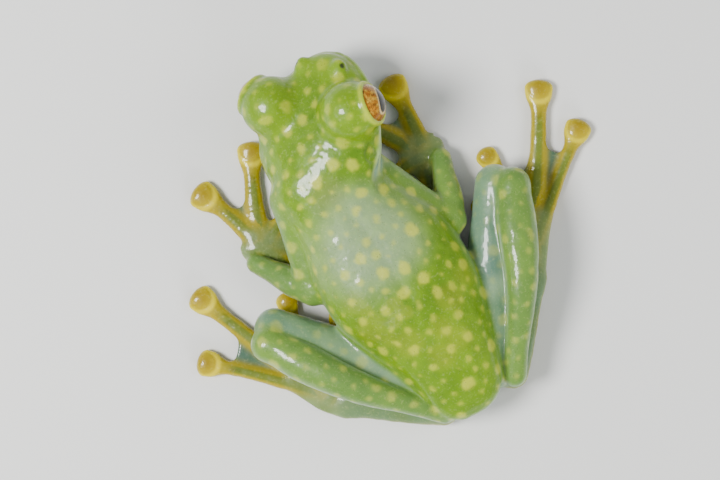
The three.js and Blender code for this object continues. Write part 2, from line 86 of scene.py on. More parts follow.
# The body, whose lengths are the solids' own
HEAD_HALF_WIDTH = 4.7
SNOUT_REACH = 5.0
MOUTH_LENGTH = 8.0
UPPER_ARM_LENGTH = 6.9
FOREARM_LENGTH = 5.0
PALM_REACH = 1.1
PALM_HALF_HEIGHT = 0.55
THIGH_LENGTH = 13.5
UNDER_THIGH = 1.35
KNEE_OUT, KNEE_UP, KNEE_BEND_UP = 1.3, 3.7, 2.5
KNEE_RADIUS = 1.12
SHANK_BOW, SHANK_UP, SHANK_END_UP = 0.5, 4.5, 2.85
HEEL_UP = 0.95
ANKLE_LENGTH = 8.3
SOLE_HALF_HEIGHT = 0.5
DIGIT_HEIGHT = 1.0
WEB_UNDER, WEB_HEIGHT = 0.22, 0.36

# Each digit's length, free length, half width of the shaft and half width of the pad
FINGERS = [(5.2, 2.7, 0.78, 0.94), (5.0, 2.6, 0.62, 0.96), (7.5, 3.3, 0.7, 1.08), (6.4, 2.7, 0.68, 1.1)]
TOES = [
    (4.17, 1.9, 0.44, 0.6),
    (5.96, 2.3, 0.5, 0.74),
    (8.66, 2.6, 0.56, 0.82),
    (12.9, 3.7, 0.66, 1.06),
    (10.6, 2.3, 0.56, 1.0),
]
# The fingers that each web joins, its reach along both, and how far its edge sags
FINGER_WEBS = [(2, 3, (0.62, 0.66), 0.25), (1, 2, (0.48, 0.42), 0.3), (0, 1, (0.5, 0.45), 0.3)]
TOE_WEB_SAGS = (0.3, 0.3, 0.25, 0.12)
POSE = {
    "right": dict(
        hip=(-1.0, 0.4, 1.6), thigh=(-33.2, 4.3), heel=(-2.2, -1.0), ankle=-40.2,
        toe_headings=(25, 9, -10.2, -35.3, -52.3), toe_bends=(24, 30, 45, 8, -4),
        toe_reach=(0.78, 0.94, 1, 1, 1),
        toe_webs=((0.4, 0.4), (0.66, 0.6), (0.72, 0.72), (0.72, 0.82)),
        shoulder=(-1.5, 17.2, 4.3), upper_arm=(-155.6, -10), forearm=(-23, -22), palm=48,
        finger_headings=(160, 93.4, 31.1, -6.5), finger_bends=(8, 28, 0, 8),
        finger_reach=(1, 0.86, 0.96, 0.92),
    ),
    "left": dict(
        hip=(2.9, 0.4, 1.6), thigh=(36.2, 4.3), heel=(3.6, -0.6), ankle=50.5,
        toe_headings=(-70.2, -36.8, -6.5, 21.5, 43.6), toe_bends=(-8, -8, -20, -6, 6),
        toe_reach=(1, 1, 0.9, 0.94, 0.91),
        toe_webs=((0.4, 0.4), (0.64, 0.6), (0.45, 0.45), (0.72, 0.82)),
        shoulder=(5.3, 18.5, 4.3), upper_arm=(165, -10), forearm=(32, -22), palm=-60,
        finger_headings=(-163, -70, -24.8, 16.4), finger_bends=(-17, -27, -16, 16),
        finger_reach=(0.87, 1, 1, 0.98),
    ),
}
HEAD_MIDDLE = (-0.25, 21.85, 4.3)
HEAD_TURN, HEAD_ROLL, HEAD_PITCH = -37.5, 28, 3

# Places on the head, as out, ahead and up of its middle
EYE = (3.85, 0.9, 2.45)
NOSTRIL = (1.5, 3.75, 1.85)
PIT_FROM_NOSTRIL = (0.42, 0.2, 0.16)
EAR = (4.2, -2.1, 0.95)
EAR_FOLD = [(3.7, -0.9, 1.9), (4.35, -2.2, 1.75), (4.55, -3.4, 0.9), (4.4, -4.6, 0.1)]
EAR_RADIUS = 0.5

# Eyes and lids. The opening is given as half its length, depth and height.
EYE_HEADING = 66
EYE_RADIUS = 1.78
EYE_OUT_BY = 0.15
LID_RADIUS = 2.18
LID_SET_BACK = 0.62
LID_OPENING = (1.7, 1.15, 1.58)
LID_LIFT = 0.12
LID_SCALE = 1.25

# For each kind of form, the group whose colours it takes and the width over which it joins the others
KINDS = {
    "torso": ("torso", 1.0), "skull": ("head", 1.0), "upper_arm": ("upper_arm", 0.7),
    "forearm": ("forearm", 0.45), "palm": ("palm", 0.5), "finger": ("digit", 0.4), "fingerweb": ("web", 0.4),
    "thigh": ("thigh", 0.6), "shank": ("shank", 0.35), "knee": ("shank", 0.5), "ankle": ("ankle", 0.6),
    "sole": ("palm", 0.8), "toe": ("digit", 0.35), "toeweb": ("web", 0.35),
}

# Places and curves


def at(left, ahead, up):
    return np.array([left, -ahead, up], float)


def beside(sign, place):
    """A place given as out, ahead and up, on the left where sign is 1 and on the right where it is -1."""
    return at(sign * place[0], place[1], place[2])


def step(start, length, heading, rise=0.0):
    h, r = math.radians(heading), math.radians(rise)
    flat = length * math.cos(r)
    return start + at(flat * math.sin(h), flat * math.cos(h), length * math.sin(r))


def lift(point, up):
    return np.array([point[0], point[1], up])


def straight(a, b):
    return [a, (a + b) / 2, b]


def even(value):
    return lambda share: value


def profile(stops):
    """A smooth curve through stops of place and value, as a function of the place."""
    x, y = np.array(stops, float).T
    after = np.minimum(np.arange(len(x)) + 1, len(x) - 1)
    before = np.maximum(np.arange(len(x)) - 1, 0)
    slope = (y[after] - y[before]) / (x[after] - x[before])

    def value(where):
        w = np.asarray(where, float)
        i = np.clip(np.searchsorted(x, w, side="left") - 1, 0, len(x) - 2)
        span = x[i + 1] - x[i]
        t = np.clip((w - x[i]) / span, 0, 1)
        t2, t3 = t * t, t * t * t
        return (
            (2 * t3 - 3 * t2 + 1) * y[i] + (t3 - 2 * t2 + t) * span * slope[i]
            + (3 * t2 - 2 * t3) * y[i + 1] + (t3 - t2) * span * slope[i + 1]
        )

    return value


class Path:
    """A smooth curve through points, read by its share of the length."""

    def __init__(self, points):
        p = np.array(points, float)
        ends = np.vstack([2 * p[0] - p[1], p, 2 * p[-1] - p[-2]])
        run = []
        for i in range(len(p) - 1):
            a, b, c, d = ends[i:i + 4]
            t0, t1, t2 = (np.sum((v - u) ** 2) ** 0.25 for u, v in ((a, b), (b, c), (c, d)))
            m0 = ((b - a) / t0 - (c - a) / (t0 + t1) + (c - b) / t1) * t1
            m1 = ((c - b) / t1 - (d - b) / (t1 + t2) + (d - c) / t2) * t1
            u = np.linspace(0, 1, 48)[:, None]
            bend, twist = -3 * b + 3 * c - 2 * m0 - m1, 2 * b - 2 * c + m0 + m1
            run.append(b + m0 * u + bend * u**2 + twist * u**3)
        self.run = np.vstack(run)
        away = np.r_[0, np.cumsum(np.linalg.norm(np.diff(self.run, axis=0), axis=1))]
        keep = np.r_[True, np.diff(away) > 1e-9]
        self.run, away = self.run[keep], away[keep]
        self.share = away / away[-1]

    def point(self, s):
        return np.array([np.interp(s, self.share, self.run[:, k]) for k in range(3)]).T

    def tangent(self, s):
        d = self.point(np.minimum(s + 0.004, 1)) - self.point(np.maximum(s - 0.004, 0))
        return d / np.linalg.norm(d)


# Closed forms, as points and triangles


def skinned(rings):
    """A form from rings of points, closed at both ends."""
    rings = np.array(rings)
    n, sides = rings.shape[:2]
    points = np.vstack([rings.reshape(-1, 3), rings[0].mean(0), rings[-1].mean(0)])
    k = np.arange(sides)
    after = (k + 1) % sides
    faces = []
    for i in range(n - 1):
        a, b = i * sides + k, i * sides + after
        faces += [np.c_[a, b, a + sides], np.c_[b, b + sides, a + sides]]
    faces.append(np.c_[after, k, np.full(sides, n * sides)])
    faces.append(np.c_[(n - 1) * sides + k, (n - 1) * sides + after, np.full(sides, n * sides + 1)])
    return points, np.vstack(faces)


def ring(middle, side, up, width, heights, sides, floor, squares=(2.0, 2.0)):
    """A rounded section: its half width, its heights above and below, and how square each half is."""
    angle = 2 * np.pi * (np.arange(sides) + 0.5) / sides
    c, s = np.cos(angle), np.sin(angle)
    power = 2 / np.where(s > 0, *squares)
    across = np.sign(c) * np.abs(c) ** power * width
    rise = np.sign(s) * np.abs(s) ** power * np.where(s > 0, *heights)
    p = middle + across[:, None] * side + rise[:, None] * up
    p[:, 2] = np.maximum(p[:, 2], floor)
    return p


def limb(path, width, height, rest=None, end=1.0, sides=40, rings=44):
    """A length of flesh along a path, with rounded ends, no lower than rest or the floor."""
    curve = Path(path) if isinstance(path, list) else path
    made = []

    def add(share, push, scale):
        ahead = curve.tangent(share)
        side = np.cross([0, 0, 1], ahead)
        side /= np.linalg.norm(side)
        up = np.cross(ahead, side)
        floor = max(0.0, float(rest(share))) if rest else 0.0
        wide, high = float(width(share)) * scale, float(height(share)) * scale
        made.append(ring(curve.point(share) + ahead * push, side, up, wide, (high, high), sides, floor))

    def reach(share):
        return min(float(width(share)), float(height(share)) * 1.25)

    cap = np.radians(np.linspace(86, 6, 11))
    for a in cap:
        add(0.0, -reach(0.0) * math.sin(a), math.cos(a))
    for s in np.linspace(0.0, end, rings):
        add(s, 0, 1)
    for a in cap[::-1]:
        add(end, reach(end) * math.sin(a), math.cos(a))
    return skinned(made)


def sheet(outline, low, high):
    """A flat sheet between two heights, from an outline that a fan from its first point fills."""
    n = len(outline)
    bottom = np.c_[outline, np.full(n, low)]
    top = np.c_[outline, np.full(n, high)]
    k = np.arange(1, n - 1)
    fan = np.c_[np.zeros(n - 2, int), k, k + 1]
    a, b = np.arange(n), (np.arange(n) + 1) % n
    sides = np.vstack([np.c_[a, b, a + n], np.c_[b, b + n, a + n]])
    return np.vstack([bottom, top]), np.vstack([fan[:, ::-1], fan + n, sides])


def volume(points, faces):
    a, b, c = points[faces[:, 0]], points[faces[:, 1]], points[faces[:, 2]]
    return float(np.einsum("ij,ij->", a, np.cross(b, c))) / 6


# Distance fields on one shared grid. A field is its lowest index and its values.

GRID = openvdb.createLinearTransform(voxelSize=VOXEL)


def measured(form):
    """A closed form's signed distances, on its own piece of the grid."""
    points, faces = form
    if volume(points, faces) < 0:
        faces = faces[:, ::-1]
    grid = openvdb.FloatGrid.createLevelSetFromPolygons(
        np.ascontiguousarray(points, np.float32),
        triangles=np.ascontiguousarray(faces, np.uint32),
        transform=GRID,
        halfWidth=BAND / VOXEL,
    )
    low, high = grid.evalActiveVoxelBoundingBox()
    values = np.zeros(tuple(int(h - l + 1) for l, h in zip(low, high)), np.float32)
    grid.copyToArray(values, ijk=tuple(int(v) for v in low))
    return np.array(low), values


def blend(a, b, k, known=True):
    """The lesser of two fields, rounded over a width k where they meet and both are known."""
    t = np.clip(1 - np.abs(a - b) / k, 0, 1) * known
    return np.minimum(a, b) - t * t * (k * 0.25)


def carve(a, b, k):
    return -blend(-a, b, k)


class Body:
    """The signed distance to the whole body, on a grid that holds it."""

    def __init__(self, low, high):
        self.low = np.floor(low / VOXEL).astype(int)
        size = np.ceil(high / VOXEL).astype(int) - self.low + 1
        self.values = np.full(tuple(size), BAND, np.float32)

    def add(self, field, k):
        low, values = field
        start = np.maximum(low, self.low)
        end = np.minimum(low + values.shape, self.low + self.values.shape)
        mine = tuple(slice(s, e) for s, e in zip(start - self.low, end - self.low))
        theirs = tuple(slice(s, e) for s, e in zip(start - low, end - low))
        a, b = self.values[mine], values[theirs]
        self.values[mine] = blend(a, b, k, np.maximum(a, b) <= BAND * 0.97)

    def region(self, low, high):
        """The places in a box, and the box's window on the values."""
        start = np.maximum(np.floor(low / VOXEL).astype(int), self.low)
        end = np.minimum(np.ceil(high / VOXEL).astype(int), self.low + self.values.shape)
        axes = [np.arange(s, e) * VOXEL for s, e in zip(start, end)]
        places = np.stack(np.meshgrid(*axes, indexing="ij"), -1)
        return places, tuple(slice(s, e) for s, e in zip(start - self.low, end - self.low))


def corner_mix(across, value_at):
    """The values at the eight corners of each place's cell, mixed by how far across the cell it lies."""
    total = np.zeros(len(across))
    for corner in itertools.product((0, 1), repeat=3):
        x, y, z = (across[:, k] if on else 1 - across[:, k] for k, on in enumerate(corner))
        total += x * y * z * value_at(corner)
    return total


def sampled(field, places):
    """A field read between its grid points. Outside its own piece it is BAND."""
    low, values = field
    p = places / VOXEL - low
    inside = np.all((p >= 0) & (p < np.array(values.shape) - 1.001), axis=1)
    found = np.full(len(places), BAND, np.float32)
    cell = p[inside].astype(int)
    found[inside] = corner_mix(p[inside] - cell, lambda corner: values[tuple((cell + corner).T)])
    return found


# Torso and head

TORSO_STATIONS = (
    -1.9, -1.75, -1.3, -0.5, 0.8, 2.4, 4.2, 6.2, 8.4, 10.6, 12.6, 14.2, 15.8, 17.6, 19.2, 20.4, 21)
torso_middle = profile([
    (-1.9, 1.4), (3, 1.1), (6, 1.2), (9, 1.4), (12, 1.4), (15, 1.7), (17.5, 2.05), (19.5, 2.1), (21, 1.5)])
torso_half = profile([
    (-1.9, 0.7), (-1.75, 1.3), (-1.3, 2.1), (-0.5, 2.7), (1, 3.2), (3, 3.9), (6, 4.9), (9, 5.5), (12, 5.3),
    (15, 4.3), (17.5, 3.9), (19, 3.8), (20.2, 2.9), (21, 1.5)])
torso_top = profile([
    (-1.9, 3.8), (-1.75, 4.1), (-1.3, 4.6), (-0.5, 5.1), (1, 5.7), (3, 6.2), (6, 6.8), (9, 7.1), (12, 7.2),
    (15, 7.2), (19, 7.3), (21, 6.2)])
torso_bottom = profile([
    (-1.9, 3.1), (-1.3, 2.8), (-0.5, 2.6), (0.6, 2.2), (1.6, 1.2), (3, 0.3), (5, -0.1), (9, -0.3),
    (12.5, -0.2), (14, 0.7), (15.2, 1.5), (17.5, 2.0), (19, 2.4), (21, 4.2)])
torso_widest = profile([(-1.9, 3.5), (0.6, 3.4), (3, 3.1), (9, 3.5), (15, 4.0), (19, 4.6), (21, 5.2)])
head_half = profile([
    (-6, 0.5), (-4.6, 0.8), (-3.2, 0.95), (-2, 1.0), (0, 0.94), (1.5, 0.84), (3, 0.68), (4, 0.5), (4.7, 0.3),
    (5, 0.12)])
head_top = profile([
    (-6, 1.4), (-4.6, 2.4), (-3.2, 2.95), (-2, 3.1), (0, 3.0), (1.5, 2.75), (3, 2.4), (4.2, 2.0), (4.8, 1.4),
    (5, 0.7)])
head_bottom = profile([(-6, 1.9), (-3, 1.9), (-1, 1.75), (1, 1.5), (3, 1.1), (4.2, 0.7), (5, 0.3)])
SIDE, UP = np.array([1.0, 0, 0]), np.array([0, 0, 1.0])
TRUNK_SIDES = 72
NO_FLOOR = -99.0

HEAD = np.array(
    Matrix.Translation(Vector(at(*HEAD_MIDDLE)))
    @ Matrix.Rotation(math.radians(HEAD_TURN), 4, "Z")
    @ Matrix.Rotation(math.radians(HEAD_ROLL), 4, "Y")
    @ Matrix.Rotation(math.radians(HEAD_PITCH), 4, "X")
)


def to_head(places):
    return (places - HEAD[:3, 3]) @ HEAD[:3, :3]


def from_head(places):
    return np.asarray(places) @ HEAD[:3, :3].T + HEAD[:3, 3]


def torso_form():
    rings = []
    for y in np.unique(np.concatenate([np.linspace(-1.9, 21, 90), TORSO_STATIONS])):
        wide, middle = float(torso_half(y)), float(torso_widest(y))
        heights = float(torso_top(y)) - middle, middle - float(torso_bottom(y))
        centre = at(float(torso_middle(y)), y, middle)
        rings.append(ring(centre, SIDE, UP, wide, heights, TRUNK_SIDES, 0.0, (2.2, 1.75)))
    return skinned(rings)


def skull_form():
    rings = []
    for y in np.unique(np.concatenate([np.linspace(-6, 4, 50), np.linspace(4, SNOUT_REACH, 22)])):
        wide, heights = float(head_half(y)) * HEAD_HALF_WIDTH, (float(head_top(y)), float(head_bottom(y)))
        rings.append(ring(at(0, y, 0), SIDE, UP, wide, heights, TRUNK_SIDES, NO_FLOOR, (2.3, 2.1)))
    points, faces = skinned(rings)
    return from_head(points), faces


# Limbs

thigh_width = profile([(0, 1.8), (0.3, 2.1), (0.65, 1.8), (0.9, 1.5), (1, 1.35)])
thigh_rest = profile([(0, 0), (0.45, 0), (0.62, UNDER_THIGH), (1, UNDER_THIGH)])
shank_width = profile([(0, 1.2), (0.2, 1.4), (0.5, 1.2), (0.8, 0.85), (1, 0.85)])
ankle_width = profile([(0, 1.1), (0.3, 1.3), (0.7, 1.35), (1, 1.5)])
ankle_height = profile([(0, 0.95), (0.6, 0.8), (1, 0.5)])
sole_width = profile([(0, 1.15), (0.3, 1.35), (1, 0.95)])
palm_width = profile([(0, 1.5), (0.5, 1.75), (1, 1.2)])
upper_arm_width = profile([(0, 1.1), (0.4, 1.0), (1, 0.95)])
forearm_width = profile([(0, 0.95), (0.35, 1.1), (0.75, 0.85), (1, 0.75)])


class Digit:
    """A finger or toe: its path from the root, and its half width along it."""

    def __init__(self, root, sizes, heading, bend, reach):
        full, self.free, self.shaft, self.pad = sizes
        self.long = full * reach
        points = [root.copy()]
        for i in range(1, 5):
            points.append(step(points[-1], self.long / 4, heading + bend * ((i - 0.5) / 4 - 0.5)))
        for i, p in enumerate(points):
            p[2] = DIGIT_HEIGHT * (0.5 - 0.05 * i / 4)
        self.path = Path(points)
        self.neck = 1 - self.pad * 1.7 / self.long
        self.width = profile([
            (0, self.shaft * 1.1), (self.neck * 0.5, self.shaft), (self.neck, self.shaft * 0.92),
            (1 - self.pad * 0.6 / self.long, self.pad * 0.93), (1, self.pad)])

    def form(self):
        knuckles = (1 - self.free * 0.98 / self.long, self.neck * 0.5)

        def swell(share):
            return sum(math.exp(-(((share - k) * self.long) / 0.45) ** 2) for k in knuckles)

        def width(share):
            return float(self.width(share)) * (1 + 0.05 * swell(share))

        def height(share):
            pad = math.exp(-(((1 - share) * self.long) / (self.pad * 1.2)) ** 2)
            return DIGIT_HEIGHT * 0.5 * (0.9 + 0.1 * pad + 0.06 * swell(share))

        return limb(self.path, width, height, sides=36, rings=60)


def web_form(root, a, b, reaches, sag):
    """The web between two digits, whose free edge sags towards their root."""
    on_a, on_b = a.path.point(reaches[0]), b.path.point(reaches[1])
    edge = (on_a + on_b) / 2 * (1 - sag) + root * sag
    t = np.linspace(0, 1, 24)[:, None]
    bow = (1 - t) ** 2 * on_a + 2 * t * (1 - t) * edge + t**2 * on_b
    side_a = a.path.point(np.linspace(0.05, reaches[0], 10)[:-1])
    side_b = b.path.point(np.linspace(0.05, reaches[1], 10)[:-1])[::-1]
    outline = np.vstack([root[None], side_a, bow, side_b])[:, :2]
    return sheet(outline, WEB_UNDER, WEB_UNDER + WEB_HEIGHT)


# Every form of the body in the order in which they join: its kind, its field, and its Digit if it is one
parts = []


def put(kind, form, digit=None):
    parts.append((kind, measured(form), digit))


def put_arm(pose):
    shoulder = at(*pose["shoulder"])
    elbow = step(shoulder, UPPER_ARM_LENGTH, *pose["upper_arm"])
    wrist = step(elbow, FOREARM_LENGTH, *pose["forearm"])
    palm = lift(step(wrist, PALM_REACH, pose["palm"]), PALM_HALF_HEIGHT)
    rows = zip(FINGERS, pose["finger_headings"], pose["finger_bends"], pose["finger_reach"])
    hand = [Digit(palm, *row) for row in rows]
    put("upper_arm", limb(straight(shoulder, elbow), upper_arm_width, upper_arm_width))
    put("forearm", limb(straight(elbow, wrist), forearm_width, forearm_width))
    back = lift(palm * 0.4 + wrist * 0.6, PALM_HALF_HEIGHT)
    front = lift(palm * 0.65 + hand[2].path.point(0.5) * 0.35, 0.5)
    put("palm", limb([back, palm, front], palm_width, even(PALM_HALF_HEIGHT)))
    for digit in hand:
        put("finger", digit.form(), digit)
    for a, b, reaches, sag in FINGER_WEBS:
        put("fingerweb", web_form(palm, hand[a], hand[b], reaches, sag))


def put_leg(pose, out):
    hip = at(*pose["hip"])
    heading = pose["thigh"][0]
    knee = step(hip, THIGH_LENGTH, *pose["thigh"])
    heel = at(*pose["heel"], HEEL_UP)
    shank_start = lift(step(knee, KNEE_OUT, heading + out * 95), KNEE_UP)
    shank_end = lift(heel, SHANK_END_UP)
    bow = step(np.zeros(3), SHANK_BOW, heading + out * 90)
    shank_middle = lift((shank_start + shank_end) / 2 + bow, SHANK_UP)
    spread = lift(step(heel, ANKLE_LENGTH, pose["ankle"]), SOLE_HALF_HEIGHT)
    rows = zip(TOES, pose["toe_headings"], pose["toe_bends"], pose["toe_reach"])
    foot = [Digit(spread, *row) for row in rows]
    put("thigh", limb(straight(hip, knee), thigh_width, thigh_width, rest=thigh_rest))
    put("shank", limb([shank_start, shank_middle, shank_end], shank_width, shank_width))
    bent = lift(knee, KNEE_BEND_UP)
    put("knee", limb(straight(bent, shank_start), even(KNEE_RADIUS), even(KNEE_RADIUS)))
    put("ankle", limb(straight(heel, spread), ankle_width, ankle_height, end=0.85))
    sole_root = lift(step(heel, ANKLE_LENGTH * 0.8, pose["ankle"]), 0.55)
    fork = (foot[3].path.point(0.3) + foot[4].path.point(0.3)) / 2
    put("sole", limb([sole_root, spread, fork], sole_width, even(SOLE_HALF_HEIGHT)))
    for digit in foot:
        put("toe", digit.form(), digit)
    for a, b, reaches, sag in zip(foot, foot[1:], pose["toe_webs"], TOE_WEB_SAGS):
        put("toeweb", web_form(spread, a, b, reaches, sag))


put("torso", torso_form())
put("skull", skull_form())
for side_name, sign in (("left", 1), ("right", -1)):
    put_arm(POSE[side_name])
    put_leg(POSE[side_name], sign)

# Places on the head, in its own frame


def eye_middle(sign):
    return beside(sign, EYE)


def eye_look(sign):
    return step(np.zeros(3), 1, sign * EYE_HEADING)


def pit_middle(sign):
    return beside(sign, NOSTRIL) + beside(sign, PIT_FROM_NOSTRIL)


def turret_off(own, sign):
    """The distance from the ball of lids round an eye."""
    return np.linalg.norm(own - (eye_middle(sign) - eye_look(sign) * LID_SET_BACK), axis=-1) - LID_RADIUS


def opening_of(own, sign):
    """The almond of an eye's opening, 1 on its edge, and the height above its middle."""
    look = eye_look(sign)
    off = own - (eye_middle(sign) + look * EYE_RADIUS)
    across, out, up = off @ np.cross(UP, look), off @ look, off[..., 2] - LID_LIFT
    long, deep, tall = LID_OPENING
    return np.sqrt((across / long) ** 2 + (out / deep) ** 2 + (up / tall) ** 2), up


def oval_off(own, middle, squares, radius):
    """A rough distance from an oval, whose half axes are the roots of squares times the radius."""
    return np.sqrt(((own - middle) ** 2 / np.array(squares)).sum(-1)) - radius


def detail_head():
    """Lids, lips, the line of the mouth, nostrils and the ear's ring, carved into the body's field."""
    centre = from_head(UP)
    places, window = body.region(centre - 8.5, centre + 8.5)
    own = to_head(places.reshape(-1, 3)).reshape(places.shape)
    left, ahead, high = own[..., 0], -own[..., 1], own[..., 2]
    skull = body.values[window]
    by_mouth = ahead > SNOUT_REACH - MOUTH_LENGTH
    along_mouth = np.clip((ahead - (SNOUT_REACH - MOUTH_LENGTH)) / 0.8, 0, 1)
    lip = np.sqrt((high - 0.3) ** 2 + (skull + 0.12) ** 2) - 0.24 * along_mouth
    field = np.where(by_mouth, blend(skull, lip, 0.3), skull)
    for sign in (1, -1):
        field = blend(field, turret_off(own, sign), 0.9)
    groove = np.sqrt((high + 0.02) ** 2 + (skull - 0.02) ** 2) - 0.13 * along_mouth
    field = np.where(by_mouth, carve(field, groove, 0.12), field)
    for sign in (1, -1):
        opening, up = opening_of(own, sign)
        opening = (opening - 1) * LID_SCALE
        field = carve(field, opening, 0.12)
        ball = np.linalg.norm(own - eye_middle(sign) - eye_look(sign) * EYE_OUT_BY, axis=-1) - EYE_RADIUS
        rim = np.sqrt((opening - 0.1) ** 2 + (ball - 0.03) ** 2) - np.where(up > 0, 0.14, 0.12)
        field = blend(field, rim, 0.38)
        field = blend(field, oval_off(own, beside(sign, NOSTRIL), (1, 1.6, 0.55), 0.52), 0.5)
        field = carve(field, oval_off(own, pit_middle(sign), (1.5, 1, 0.8), 0.15), 0.1)
        ear = own - beside(sign, EAR)
        away = np.sqrt(ear[..., 1] ** 2 + ear[..., 2] ** 2)
        ear_ring = np.sqrt((away - EAR_RADIUS) ** 2 + (skull - 0.05) ** 2) - 0.1
        field = np.where(left * sign > 3, carve(field, ear_ring, 0.12), field)
    body.values[window] = field.astype(np.float32)


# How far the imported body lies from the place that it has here, read from an eye
eye_low, eye_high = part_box("eye_left")
SHIFT = np.array((eye_low + eye_high) / 2) * 1000 - from_head(eye_middle(1))
box_low = np.array(cad_low) * 1000 - SHIFT
box_high = np.array(cad_high) * 1000 - SHIFT
body = Body(box_low - GRID_MARGIN, box_high + GRID_MARGIN)
for kind, field, _ in parts:
    body.add(field, KINDS[kind][1])
detail_head()
under_floor = max(0, -body.low[2])
body.values[:, :, :under_floor] = BAND

# The skin's mesh


def meshed(values, low):
    """The surface of a field, as points and quads."""
    grid = openvdb.FloatGrid(BAND)
    grid.copyFromArray(np.ascontiguousarray(values, np.float32), ijk=tuple(int(v) for v in low))
    grid.transform = GRID
    grid.gridClass = openvdb.GridClass.LEVEL_SET
    points, quads = grid.convertToQuads(isovalue=0.0)
    return points.astype(float), quads.astype(int)


def largest_surface(points, quads):
    """Only the largest of the mesh's separate surfaces."""
    label = np.arange(len(points))
    edges = np.vstack([quads[:, [0, 1]], quads[:, [1, 2]], quads[:, [2, 3]]])
    while True:
        low = np.minimum(label[edges[:, 0]], label[edges[:, 1]])
        new = label.copy()
        np.minimum.at(new, edges[:, 0], low)
        np.minimum.at(new, edges[:, 1], low)
        new = new[new]
        new = new[new]
        if np.array_equal(new, label):
            break
        label = new
    names, counts = np.unique(label, return_counts=True)
    keep = label == names[counts.argmax()]
    number = np.cumsum(keep) - 1
    return points[keep], number[quads[keep[quads[:, 0]]]]


def normals_of(points, quads):
    a, b, c, d = (points[quads[:, i]] for i in range(4))
    face = np.cross(c - a, d - b)
    out = np.zeros_like(points)
    for i in range(4):
        np.add.at(out, quads[:, i], face)
    return out / np.maximum(np.linalg.norm(out, axis=1), 1e-12)[:, None]


def relaxed(vectors, quads, rounds):
    """Directions averaged over neighbours."""
    edges = np.vstack([quads[:, [0, 1]], quads[:, [1, 2]], quads[:, [2, 3]], quads[:, [3, 0]]])
    a, b = edges.T
    n = len(vectors)
    count = np.bincount(edges.ravel(), minlength=n).astype(float)
    for _ in range(rounds):
        total = [np.bincount(a, v[b], n) + np.bincount(b, v[a], n) for v in vectors.T]
        vectors = np.stack(total, 1) / count[:, None]
    return vectors / np.linalg.norm(vectors, axis=1)[:, None]


points, quads = largest_surface(*meshed(body.values, body.low))
if volume(points, np.vstack([quads[:, [0, 1, 2]], quads[:, [0, 2, 3]]])) < 0:
    quads = quads[:, ::-1]
normal = relaxed(normals_of(points, quads), quads, 3)

# Masks over the skin

LATTICE_SIZE = 32
LATTICE = np.random.default_rng(11).random((LATTICE_SIZE,) * 3)
# What stands for the distance from a line, or from a digit's tip, where there is none near
FAR = 99.0
OFF_DIGITS = 9.0


def noise(places, size, offset=0.0):
    """Smooth noise from -1 to 1 with features of a size in millimetres."""
    q = places / size + offset
    cell = np.floor(q).astype(int)
    f = q - cell
    f = f * f * (3 - 2 * f)
    return corner_mix(f, lambda corner: LATTICE[tuple(((cell + corner) % LATTICE_SIZE).T)]) * 2 - 1


def ramp(low, high, value):
    t = np.clip((value - low) / (high - low), 0, 1)
    return t * t * (3 - 2 * t)


def near(value, centre, width):
    return np.exp(-(((value - centre) / width) ** 2))


left, ahead = points[:, 0], -points[:, 1]
own = to_head(points)
head_left, head_ahead, head_high = own[:, 0], -own[:, 1], own[:, 2]
dome_off = np.minimum(turret_off(own, 1), turret_off(own, -1))
lid = ramp(0.5, 0.1, dome_off)
lid_edge, pit_shade = np.zeros(len(points)), np.zeros(len(points))
for sign in (1, -1):
    from_edge = np.abs(opening_of(own, sign)[0] - 1.06) * LID_SCALE
    lid_edge = np.maximum(lid_edge, ramp(0.3, 0.08, from_edge) * (dome_off < 0.35))
    pit_shade = np.maximum(pit_shade, ramp(0.26, 0.14, np.linalg.norm(own - pit_middle(sign), axis=1)))


def group_weights():
    """How far each point belongs to each group of forms."""
    reach = {}
    for kind, field, _ in parts:
        group = KINDS[kind][0]
        away = sampled(field, points)
        reach[group] = np.minimum(reach[group], away) if group in reach else away
    reach["web"] = reach["web"] + 0.12
    least = np.min(list(reach.values()), axis=0)
    weight = {g: np.exp(-(d - least) / 0.12) * (d < BAND * 0.98) for g, d in reach.items()}
    total = np.sum(list(weight.values()), axis=0) + 1e-9
    weight = {g: w / total * (1 - lid) for g, w in weight.items()}
    weight["head"] = weight["head"] + lid
    return weight


def along_digits():
    """Each point's place across its digit, the length left to the tip, and its pad radii from the tip."""
    across = np.zeros(len(points))
    to_tip = np.full(len(points), OFF_DIGITS)
    pad_radii = np.full(len(points), OFF_DIGITS)
    shares = np.linspace(0, 1, 40)
    for _, field, digit in parts:
        if digit is None:
            continue
        inside = np.where(sampled(field, points) < 0.5)[0]
        run = digit.path.point(shares)
        off = points[inside][:, None, :2] - run[None, :, :2]
        nearest = (off ** 2).sum(-1).argmin(1)
        direction = np.array([digit.path.tangent(s) for s in shares])[nearest]
        vec = off[np.arange(len(inside)), nearest]
        aside = vec[:, 0] * -direction[:, 1] + vec[:, 1] * direction[:, 0]
        left_over = (1 - shares[nearest]) * digit.long
        better = left_over < to_tip[inside]
        pick = inside[better]
        across[pick] = (aside / digit.width(shares[nearest]))[better]
        to_tip[pick] = left_over[better]
        pad_radii[pick] = (np.linalg.norm(points[inside][:, :2] - run[-1][:2], axis=1) / digit.pad)[better]
    return across, to_tip, pad_radii


weight = group_weights()
across, digit_left, pad_off = along_digits()
wrinkle = noise(points * np.array([1.0, 0.3, 1.6]), 0.5, 5.0)


